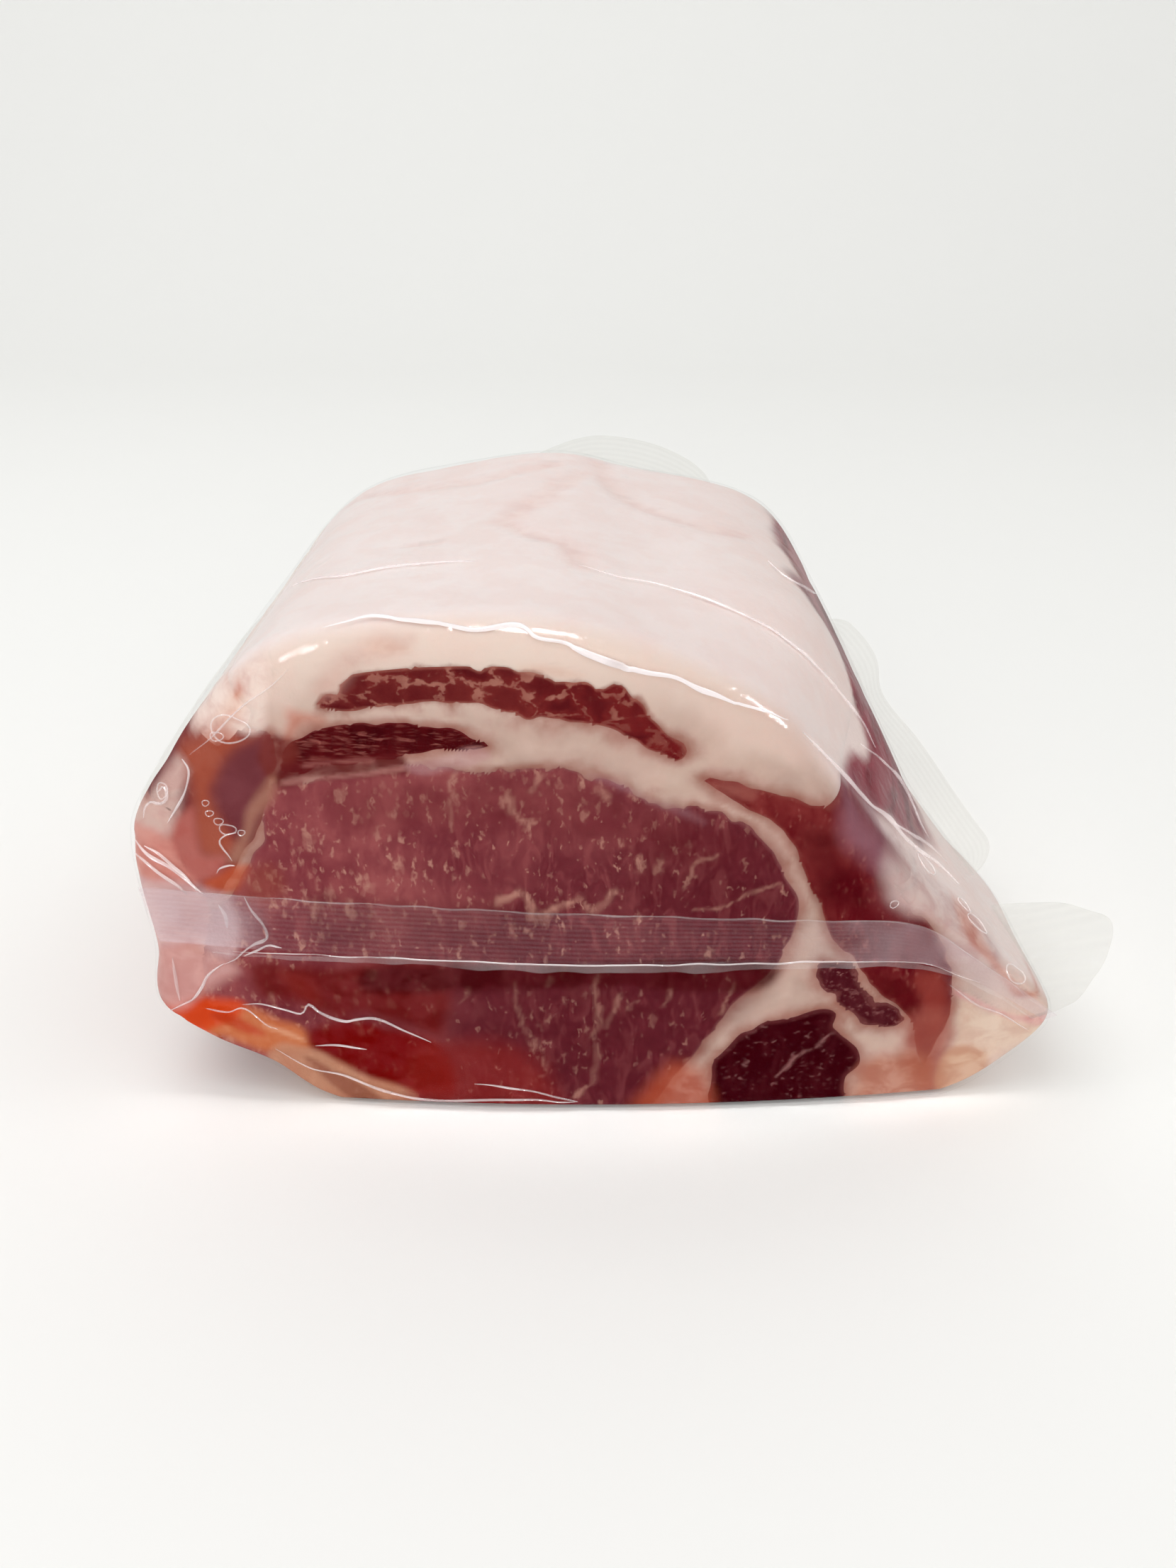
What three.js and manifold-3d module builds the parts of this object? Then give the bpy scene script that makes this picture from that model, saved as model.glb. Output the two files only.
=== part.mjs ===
// A raw pork loin roast, vacuum-packed in a clear pouch.
// Millimetres, +Z up. The cut face looks towards -Y and the loin runs back along +Y.
// The fat body carries the muscles, which run through it from cut face to cut face.
// Red juice lies in the low left end of the pouch, and the pouch's welded seal runs right round.
import * as THREE from "three";
import { mergeVertices } from "three/addons/utils/BufferGeometryUtils.js";
import Module from "manifold-3d";

const wasm = await Module();
wasm.setup();

// Driving dimensions
const DEPTH = 122; // from cut face to cut face
const HALF_WIDTH = 84; // from the middle of the roast to its left end
const MID_HEIGHT = 50; // the level that the ends round in towards
const FRONT_ROUND = 6; // rounding of the front edge
const LOW_ROUND_SHARE = 0.15; // how much of that rounding is left at the floor
const BACK_ROUND = 13; // rounding of the back edge, which the pouch draws in
const FRONT_BOW = 7; // how far the cut face falls back at its ends
const BACK_BOW = 9;
const CLEARANCE = 0.3; // gap between neighbouring solids
const FILM = 0.6; // thickness of the doubled film in the seal
const OVERRUN = 14; // how far a muscle's blank runs past both cut faces

// How the section changes on its way back
const SHOULDER_SWELL = 8; // the right shoulder grows out
const SHOULDER_LIFT = 6; // and up
const SHOULDER_RUN = 45; // within this depth
const LEFT_TAPER = 3; // the left end draws in
const TIP_TAPER = 13; // and so does the low right tip
const BACK_RISE = 4; // the fat cap is a little higher at the back, right of the middle

// Facets
const RING_POINTS = 64;
const ROUND_STEPS = 3;
const BODY_STEPS = 6;
const FACE_RINGS = [0.75, 0.4];
const MUSCLE_POINTS = 44;
const MUSCLE_STEPS = 4;

// Outlines on the cut face, as [x, z] points of a closed smooth curve that runs clockwise.
// The pack's section: flat underneath, steep on the left, a long slope on the right.
const PACK_OUTLINE = [
  [-46, -1], [-62, 8], [-74, 12.5], [-83.5, 19.5], [-83, 32], [-84.5, 46], [-84, 58], [-76.5, 70.5],
  [-68, 82], [-54, 94.5], [-28, 100], [2, 98], [32, 84], [47, 65], [64, 44], [80, 29], [91, 16],
  [82, 6.5], [67, -1],
];

// The low left end, where juice stands between the meat and the film.
const JUICE_OUTLINE = [
  [-58, 84], [-69, 68], [-71.5, 52], [-69, 36], [-68, 21], [-54, 5], [-38, -6], [-80, -20], [-110, 10],
  [-110, 60], [-90, 95],
];

const MUSCLE_OUTLINES = {
  loin_eye: [
    [-55.5, 68.5], [-43.5, 70.8], [-31, 73.6], [-20.5, 73], [-8, 73.5], [2.5, 72], [11, 67], [23.5, 64.5],
    [32, 58.5], [36.5, 50.5], [38, 40.5], [34, 31], [26.5, 23], [20.5, 13], [14, 3], [6, -8], [-38, -10],
    [-66, -4], [-78, 14], [-76, 34], [-65.5, 46.5], [-59.5, 57.5],
  ],
  cap_muscle: [
    [-45.5, 83], [-41, 88], [-35.5, 91.5], [-27.5, 93], [-18.5, 92], [-8, 90], [1.5, 89], [7.5, 87],
    [12.5, 82], [17, 77], [16, 75.5], [9.5, 78], [0, 82], [-12, 83.5], [-24, 85], [-36, 84.5],
  ],
  inner_muscle: [
    [-54, 71.5], [-51.5, 76.5], [-45.5, 80], [-36, 81.5], [-26.5, 81], [-17, 78.5], [-24, 76.5],
    [-33.5, 75.2], [-43.5, 72.8],
  ],
  side_muscle: [
    [20, 71], [28.5, 69.5], [38.5, 66], [45, 63.5], [54, 65.5], [60, 58], [54.5, 52.5], [60, 43.5],
    [66.5, 35], [69.5, 27.5], [69.5, 20.5], [67.5, 13], [65.5, 7], [63.5, 13], [61, 19.5], [55.5, 25],
    [50, 31.8], [45, 39.5], [41, 47], [38, 55], [32.5, 63],
  ],
  small_muscle: [
    [43.5, 31], [48, 31], [51, 26.5], [55.5, 22.3], [59.2, 19.6], [58, 18], [52.5, 20], [48.5, 23],
    [46.5, 26], [44, 26.5],
  ],
  lower_muscle: [
    [23.5, 8], [26, 14], [31, 18.5], [38.5, 21.3], [45, 21.3], [47.8, 20], [47.5, 17], [51, 14],
    [53.5, 10], [51, 5], [48, -8], [28, -8],
  ],
  left_muscle: [
    [-55.5, 71], [-57.5, 64.5], [-61.5, 57.5], [-66, 49], [-70, 45.5], [-78, 52], [-80, 62], [-72, 72],
    [-63, 78], [-58, 79], [-54.5, 78],
  ],
};

// The seal, as a root line on the pack and a free edge, each a smooth curve through [x, y, z] points.
// The front seal lies folded up against the cut face; the rest stands out as a fin.
const SEAL_LINES = {
  seal_front: {
    root: [
      [-80, 5, 36], [-52, 1.7, 35.5], [0, -0.9, 34.5], [40, 0.7, 34], [62, 2.9, 32.5], [74, 4.4, 27],
      [88, 6, 17.5],
    ],
    edge: [
      [-82.5, 5, 47.5], [-54, 1.6, 47], [0, -1.2, 45.4], [40, 0.4, 43.2], [61, 2.5, 40.6], [75, 4, 31],
      [90.5, 6, 18.5],
    ],
  },
  seal_right_flap: {
    root: [[86, 7, 16.5], [85, 15, 18.5], [83, 25, 21.5], [80, 36, 24]],
    edge: [[93, 7, 18], [99.5, 14, 20], [105, 21, 23], [107, 28, 26], [95, 37, 26]],
  },
  seal_right: {
    root: [[78, 44, 24], [74, 60, 29], [68, 80, 36], [62, 95, 43], [58, 103, 48], [52, 112, 57]],
    edge: [[90.5, 46, 29], [84, 60, 35.5], [77.5, 80, 42.5], [71, 96, 48.5], [70.5, 106, 54.5], [61, 118, 64]],
  },
  seal_back: {
    root: [[34, 117, 78], [20, 120, 87], [3, 120, 91], [-20, 120, 86], [-48, 117, 76]],
    edge: [[34, 124, 88], [25, 126, 97.5], [3, 126.5, 103.5], [-20, 127.5, 96], [-48, 126, 86]],
  },
  seal_left: {
    root: [[-58, 106, 66], [-68, 90, 63], [-73, 62, 60], [-75, 34, 56], [-76, 12, 50]],
    edge: [[-66, 112, 73], [-74.5, 92, 70.5], [-79.5, 62, 67], [-83, 34, 62.5], [-85.2, 10, 57.5]],
  },
};
const SEAL_STEPS = 26;
const SEAL_RIPPLES = 5; // waves along each free fin
const SEAL_RIPPLE = 0.7; // height of those waves
const FLAT_SEAL = "seal_front"; // pressed against the meat, so it has no waves

const FINISHES = {
  fat: { color: 0xe9cfc4, roughness: 0.35 },
  loin_eye: { color: 0x7c3a3c, roughness: 0.4 },
  muscle: { color: 0x661a1e, roughness: 0.4 },
  juice: { color: 0xb0301a, roughness: 0.1, transparent: true, opacity: 0.8 },
  seal: { color: 0xe6e4e2, roughness: 0.15, transparent: true, opacity: 0.3 },
};

const clamp = THREE.MathUtils.clamp;
const ramp = THREE.MathUtils.smoothstep;

// Moves a point of the plain extrusion to where it lies in the roast.
function settle(point) {
  const along = clamp(point.y / DEPTH, 0, 1);
  const shoulder = ramp(point.y, 0, SHOULDER_RUN);
  const onRight = ramp(point.x, 5, 40);
  const crown = onRight * (1 - ramp(point.x, 40, 68));
  const across = (point.x / HALF_WIDTH) ** 2;
  const x =
    point.x +
    SHOULDER_SWELL * shoulder * onRight * ramp(point.z, 20, 60) +
    LEFT_TAPER * along * ramp(-point.x, 35, 75) -
    TIP_TAPER * ramp(along, 0.35, 1) * ramp(point.x, 45, 80) * (1 - ramp(point.z, 25, 60));
  const y = point.y + FRONT_BOW * across * (1 - along) - BACK_BOW * across * along;
  const z =
    point.z +
    SHOULDER_LIFT * shoulder * crown * ramp(point.z, 30, 75) +
    BACK_RISE * along * ramp(point.x, -40, 0) * ramp(point.z, 50, 95);
  return point.set(x, y, z);
}

// A closed smooth curve through [x, z] points, as evenly spaced points.
function closedCurve(outline, count) {
  const curve = new THREE.CatmullRomCurve3(
    outline.map(([x, z]) => new THREE.Vector3(x, 0, z)),
    true,
  );
  return curve.getSpacedPoints(count).slice(0, count);
}

// The outline moved outwards by a distance, for the hole that a muscle lies in.
function grown(points, distance) {
  return points.map((point, i) => {
    const before = points.at(i - 1);
    const after = points[(i + 1) % points.length];
    const run = new THREE.Vector3().subVectors(after, before).normalize();
    return new THREE.Vector3(point.x - run.z * distance, 0, point.z + run.x * distance);
  });
}

// A closed skin over rings of equal count, each end drawn together to a middle point.
function loftGeometry(rings) {
  const count = rings[0].length;
  const positions = rings.flat().flatMap((p) => [p.x, p.y, p.z]);
  const index = [];
  for (let ring = 0; ring + 1 < rings.length; ring++)
    for (let i = 0; i < count; i++) {
      const a = ring * count + i;
      const b = ring * count + ((i + 1) % count);
      index.push(a, b, b + count, a, b + count, a + count);
    }
  const addEnd = (ring, first, turned) => {
    const middle = ring.reduce((sum, p) => sum.add(p), new THREE.Vector3()).divideScalar(count);
    const centre = positions.length / 3;
    positions.push(middle.x, middle.y, middle.z);
    for (let i = 0; i < count; i++) {
      const a = first + i;
      const b = first + ((i + 1) % count);
      index.push(...(turned ? [centre, a, b] : [centre, b, a]));
    }
  };
  addEnd(rings[0], 0, false);
  addEnd(rings.at(-1), (rings.length - 1) * count, true);
  return new THREE.BufferGeometry()
    .setAttribute("position", new THREE.Float32BufferAttribute(positions, 3))
    .setIndex(index);
}

// The whole pack: rings along the roast, rounded in at both ends and flat underneath.
// With a margin it is that much larger all round.
function packGeometry(margin = 0) {
  const outline = closedCurve(PACK_OUTLINE, RING_POINTS);
  const ringAt = (y, inset, share = 1) =>
    outline.map((p) => {
      const level = Math.max(p.z, 0);
      const low = y < DEPTH / 2 ? THREE.MathUtils.lerp(LOW_ROUND_SHARE, 1, ramp(level, 4, 45)) : 1;
      const drawnIn = inset * low - margin;
      const x = p.x * (1 - drawnIn / HALF_WIDTH) * share;
      const z = MID_HEIGHT + (level - MID_HEIGHT) * (1 - drawnIn / MID_HEIGHT) * share;
      const point = settle(new THREE.Vector3(x, y, z));
      point.y += margin * clamp((2 * y) / DEPTH - 1, -1, 1);
      return point;
    });
  const rings = FACE_RINGS.map((share) => ringAt(0, FRONT_ROUND, share)).reverse();
  for (let i = 0; i < ROUND_STEPS; i++) {
    const turn = ((i / ROUND_STEPS) * Math.PI) / 2;
    rings.push(ringAt(FRONT_ROUND * (1 - Math.cos(turn)), FRONT_ROUND * (1 - Math.sin(turn))));
  }
  const straight = DEPTH - FRONT_ROUND - BACK_ROUND;
  for (let i = 0; i <= BODY_STEPS; i++) rings.push(ringAt(FRONT_ROUND + (straight * i) / BODY_STEPS, 0));
  for (let i = ROUND_STEPS - 1; i >= 0; i--) {
    const turn = ((i / ROUND_STEPS) * Math.PI) / 2;
    rings.push(ringAt(DEPTH - BACK_ROUND * (1 - Math.cos(turn)), BACK_ROUND * (1 - Math.sin(turn))));
  }
  for (const share of FACE_RINGS) rings.push(ringAt(DEPTH, BACK_ROUND, share));
  return loftGeometry(rings);
}

// A muscle's blank: its outline run through the roast and past both cut faces.
function blankGeometry(points) {
  const shape = new THREE.Shape(points.map((p) => new THREE.Vector2(p.x, p.z)));
  const geometry = new THREE.ExtrudeGeometry(shape, {
    depth: DEPTH + 2 * OVERRUN,
    steps: MUSCLE_STEPS,
    bevelEnabled: false,
  });
  geometry.rotateX(Math.PI / 2);
  geometry.translate(0, DEPTH + OVERRUN, 0);
  const position = geometry.getAttribute("position");
  for (let i = 0; i < position.count; i++) {
    const point = settle(new THREE.Vector3().fromBufferAttribute(position, i));
    position.setXYZ(i, point.x, point.y, point.z);
  }
  return geometry;
}

// A length of the welded seal: a thin strip between its root line and its free edge.
function sealGeometry({ root, edge }, ripple) {
  const curveOf = (line) =>
    new THREE.CatmullRomCurve3(line.map((p) => new THREE.Vector3(...p))).getSpacedPoints(SEAL_STEPS);
  const inner = curveOf(root);
  const outer = curveOf(edge);
  const rings = inner.map((from, i) => {
    const to = outer[i];
    const run = new THREE.Vector3().subVectors(
      inner[Math.min(i + 1, SEAL_STEPS)],
      inner[Math.max(i - 1, 0)],
    );
    const side = new THREE.Vector3().subVectors(to, from).cross(run).normalize();
    const wave = ripple * Math.sin((i / SEAL_STEPS) * SEAL_RIPPLES * 2 * Math.PI);
    const corner = (base, away) => base.clone().addScaledVector(side, away);
    return [
      corner(from, FILM / 2),
      corner(from, -FILM / 2),
      corner(to, wave - FILM / 2),
      corner(to, wave + FILM / 2),
    ];
  });
  return loftGeometry(rings);
}

// Solids for joining and cutting, and back again
function solidOf(geometry) {
  const bare = geometry.clone();
  for (const name of Object.keys(bare.attributes)) if (name !== "position") bare.deleteAttribute(name);
  const merged = mergeVertices(bare, 1e-3);
  const solid = new wasm.Manifold(
    new wasm.Mesh({
      numProp: 3,
      vertProperties: merged.getAttribute("position").array,
      triVerts: new Uint32Array(merged.index.array),
    }),
  );
  if (solid.volume() > 0) return solid;
  const turned = merged.index.array.slice().reverse();
  return new wasm.Manifold(
    new wasm.Mesh({
      numProp: 3,
      vertProperties: merged.getAttribute("position").array,
      triVerts: new Uint32Array(turned),
    }),
  );
}

// Keeps the one large body of a cut and drops loose scraps.
function largestBody(solid) {
  return solid.decompose().reduce((most, body) => (body.volume() > most.volume() ? body : most));
}

function geometryOf(solid) {
  const mesh = solid.getMesh();
  return new THREE.BufferGeometry()
    .setAttribute("position", new THREE.BufferAttribute(new Float32Array(mesh.vertProperties), 3))
    .setIndex(new THREE.BufferAttribute(new Uint32Array(mesh.triVerts), 1));
}

function meshOf(name, geometry, finish) {
  geometry.computeVertexNormals();
  const mesh = new THREE.Mesh(geometry, new THREE.MeshStandardMaterial({ metalness: 0, ...finish }));
  mesh.name = name;
  return mesh;
}

// Assembly
const roast = new THREE.Group();

const pack = solidOf(packGeometry());
const juiceLine = closedCurve(JUICE_OUTLINE, MUSCLE_POINTS);
const juice = pack.intersect(solidOf(blankGeometry(juiceLine)));
const meat = pack.subtract(solidOf(blankGeometry(grown(juiceLine, CLEARANCE))));

let fat = meat;
for (const [name, outline] of Object.entries(MUSCLE_OUTLINES)) {
  const line = closedCurve(outline, MUSCLE_POINTS);
  const muscle = largestBody(fat.intersect(solidOf(blankGeometry(line))));
  fat = fat.subtract(solidOf(blankGeometry(grown(line, CLEARANCE))));
  roast.add(meshOf(name, geometryOf(muscle), name === "loin_eye" ? FINISHES.loin_eye : FINISHES.muscle));
}
roast.add(meshOf("fat", geometryOf(largestBody(fat)), FINISHES.fat));
roast.add(meshOf("juice", geometryOf(largestBody(juice)), FINISHES.juice));

const packAndGap = solidOf(packGeometry(CLEARANCE));
for (const [name, lines] of Object.entries(SEAL_LINES)) {
  const strip = solidOf(sealGeometry(lines, name === FLAT_SEAL ? 0 : SEAL_RIPPLE));
  roast.add(meshOf(name, geometryOf(largestBody(strip.subtract(packAndGap))), FINISHES.seal));
}

// The origin lies under the middle of the pack, on the surface that it rests on.
const bounds = new THREE.Box3().setFromObject(roast);
const middle = bounds.getCenter(new THREE.Vector3());
roast.position.set(-middle.x, -middle.y, -bounds.min.z);

const part = new THREE.Group();
part.add(roast);

export default part;
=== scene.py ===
"""The looks of a raw pork loin roast in a clear vacuum pouch.

Shapes are worked out in millimetres in the cut face's own frame: x to the right, y back from the
cut face, z up from the surface that the pack rests on. They go to the part's frame, in metres, last.
"""

import logging
import math
from dataclasses import dataclass
from enum import Enum

import bpy
import numpy as np
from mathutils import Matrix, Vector
from mathutils.bvhtree import BVHTree


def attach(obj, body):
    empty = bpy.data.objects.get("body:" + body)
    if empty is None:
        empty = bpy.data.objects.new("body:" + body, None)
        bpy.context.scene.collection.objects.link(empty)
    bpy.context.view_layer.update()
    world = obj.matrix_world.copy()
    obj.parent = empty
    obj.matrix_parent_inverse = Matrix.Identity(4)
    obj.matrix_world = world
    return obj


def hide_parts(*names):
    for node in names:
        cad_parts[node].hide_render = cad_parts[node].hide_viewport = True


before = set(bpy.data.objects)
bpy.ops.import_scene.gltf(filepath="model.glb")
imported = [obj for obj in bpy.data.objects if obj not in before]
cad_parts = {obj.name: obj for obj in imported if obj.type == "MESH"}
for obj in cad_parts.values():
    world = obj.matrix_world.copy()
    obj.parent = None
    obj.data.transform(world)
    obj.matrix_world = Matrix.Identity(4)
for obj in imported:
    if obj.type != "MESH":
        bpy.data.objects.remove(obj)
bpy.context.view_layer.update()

log = logging.getLogger("roast")

Array = np.ndarray
Band = tuple[float, float]
Colour = tuple[float, float, float, float]
Face = tuple[int, ...]
Points = tuple[tuple[float, ...], ...]
Trio = tuple[float, float, float]
Material = bpy.types.Material
Node = bpy.types.Node
Socket = bpy.types.NodeSocket
Tree = bpy.types.NodeTree
Value = Socket | float | tuple[float, ...]  # what an input may be fed with
Inputs = dict[str | int, Value]
Sockets = bpy.types.bpy_prop_collection

MM = 0.001
BODY = "root"
TO_PART = np.array([-10.8785, -63.2825, 0.0])  # from the cut face's frame to the part's
CURVE_STEPS = 24  # fine steps between two points of a smooth curve
LINE_STEPS = 40  # points along a seam or a crease
CHUNK = 8000  # points measured at a time
TINY = 1e-12  # keeps a division by a length of nothing sound
LIFT = 0.35  # how far the meat stands off the surface under it, inside the film
THROUGH = 40.0  # wavelength of the grain on its way through the roast
GRAIN_STIR = {"Scale": 2.1, "Detail": 3.0}  # the noise that stirs the grain
MOIST_DEPTH = 0.0002  # depth of a moist cut's fine grain, in metres
MIX_SHARE, MIX_FIRST, MIX_SECOND = 0, 6, 7  # the inputs of a node that mixes colours
MIX_RESULT = 2


class Region(Enum):
    """What a place on the cut face belongs to. The values are the part's node names."""

    FAT = "fat"
    LOIN_EYE = "loin_eye"
    CAP = "cap_muscle"
    INNER = "inner_muscle"
    SIDE = "side_muscle"
    SMALL = "small_muscle"
    LOWER = "lower_muscle"
    LEFT = "left_muscle"
    JUICE = "juice"


class Slot(Enum):
    """The record's material slots."""

    FAT = "fat"
    LEAN = "lean"
    JUICE = "juice"
    FILM = "film"


# Outlines on the cut face, as (x, z) points of closed smooth curves
OUTLINES: dict[Region, Points] = {
    Region.JUICE: ((-58, 84), (-69, 68), (-71.5, 52), (-69, 36), (-68, 21), (-54, 5), (-38, -6), (-80, -20),
        (-110, 10), (-110, 60), (-90, 95)),
    Region.LOIN_EYE: ((-55.5, 68.5), (-43.5, 70.8), (-31, 73.6), (-20.5, 73), (-8, 73.5), (2.5, 72),
        (11, 67), (23.5, 64.5), (32, 58.5), (36.5, 50.5), (38, 40.5), (34, 31), (26.5, 23), (20.5, 13),
        (14, 3), (6, -8), (-38, -10), (-66, -4), (-78, 14), (-76, 34), (-65.5, 46.5), (-59.5, 57.5)),
    Region.CAP: ((-45.5, 83), (-41, 88), (-35.5, 91.5), (-27.5, 93), (-18.5, 92), (-8, 90), (1.5, 89),
        (7.5, 87), (12.5, 82), (17, 77), (16, 75.5), (9.5, 78), (0, 82), (-12, 83.5), (-24, 85),
        (-36, 84.5)),
    Region.INNER: ((-54, 71.5), (-51.5, 76.5), (-45.5, 80), (-36, 81.5), (-26.5, 81), (-17, 78.5),
        (-24, 76.5), (-33.5, 75.2), (-43.5, 72.8)),
    Region.SIDE: ((20, 71), (28.5, 69.5), (38.5, 66), (45, 63.5), (54, 65.5), (60, 58), (54.5, 52.5),
        (60, 43.5), (66.5, 35), (69.5, 27.5), (69.5, 20.5), (67.5, 13), (65.5, 7), (63.5, 13), (61, 19.5),
        (55.5, 25), (50, 31.8), (45, 39.5), (41, 47), (38, 55), (32.5, 63)),
    Region.SMALL: ((43.5, 31), (48, 31), (51, 26.5), (55.5, 22.3), (59.2, 19.6), (58, 18), (52.5, 20),
        (48.5, 23), (46.5, 26), (44, 26.5)),
    Region.LOWER: ((23.5, 8), (26, 14), (31, 18.5), (38.5, 21.3), (45, 21.3), (47.8, 20), (47.5, 17),
        (51, 14), (53.5, 10), (51, 5), (48, -8), (28, -8)),
    Region.LEFT: ((-55.5, 71), (-57.5, 64.5), (-61.5, 57.5), (-66, 49), (-70, 45.5), (-78, 52), (-80, 62),
        (-72, 72), (-63, 78), (-58, 79), (-54.5, 78)),
}

# How rough the outlines are that aren't as rough as the others
ROUGHNESS: dict[Region, float] = {
    Region.CAP: 1.5,
    Region.SMALL: 1.5,
    Region.LOWER: 1.1,
    Region.JUICE: 0.4,
}

# Seams of fat within a muscle, as (x, z) points and a half width
SEAMS: tuple[tuple[Points, float], ...] = (
    (((-17, 47), (-15, 48), (-12.5, 49), (-10.5, 46), (-9.5, 43), (-6, 45.5), (-1, 47), (1, 45),
        (5, 48.5)), 1.0),
    (((-23.5, 72), (-24, 66.5), (-24.5, 61.5)), 0.45),
    (((-13.5, 67), (-12.5, 64), (-9.5, 63)), 1.3),
    (((-8, 72), (-9.5, 69.5)), 0.8),
    (((1.5, 69.5), (3.5, 66)), 1.0),
    (((17, 49), (20, 54.5), (23, 56.5)), 0.5),
    (((19.5, 44.5), (27.5, 47), (35.5, 50)), 0.45),
    (((2, 31.5), (1, 26.5), (2, 22.5), (1.5, 17), (0.5, 7), (-2.5, 3)), 0.8),
    (((5.5, 27), (3.5, 19)), 0.55),
    (((-12.7, 30.5), (-13.5, 25.5), (-11.8, 19.7), (-10, 16), (-8.3, 10), (-9, 7)), 0.6),
    (((-22, 28), (-24.3, 25)), 0.5),
    (((9, 25.6), (7.9, 22.9)), 0.5),
    (((15.7, 28.3), (14.2, 23.9)), 0.55),
    (((27.5, 28.8), (25.6, 22.4)), 0.5),
    (((36.5, 7.5), (42, 12), (47.5, 16.5)), 0.55),
    (((24.5, 16), (27, 18), (32, 17)), 0.35),
)

# Creases in the fat on top, as (x, y) points and a half width
CREASES: tuple[tuple[Points, float], ...] = (
    (((-1, 97), (-6, 85), (-11, 72), (-17, 59)), 5.0),
    (((3, 108), (5, 91), (12, 80), (23, 74), (33, 75)), 5.0),
    (((-17, 58), (-10, 48), (-4, 45), (-1, 34)), 4.2),
    (((-54, 102), (-37, 92), (-21, 93), (-8, 101)), 4.4),
    (((-35, 48), (-29, 47)), 1.8),
    (((-36, 66), (-30, 66)), 1.6),
)
# painted shade: the pinkish tint that darkens the creases
CREASE_SHADE = (231, 198, 189)


@dataclass(frozen=True)
class Stain:
    """A soft tint on the cut face, inside a closed smooth outline of (x, z) points. Juice stains, painted
    shade and painted sheen of the film all take this form.
    """

    tone: tuple[int, int, int]
    strength: float
    soft: float
    outline: Points
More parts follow.
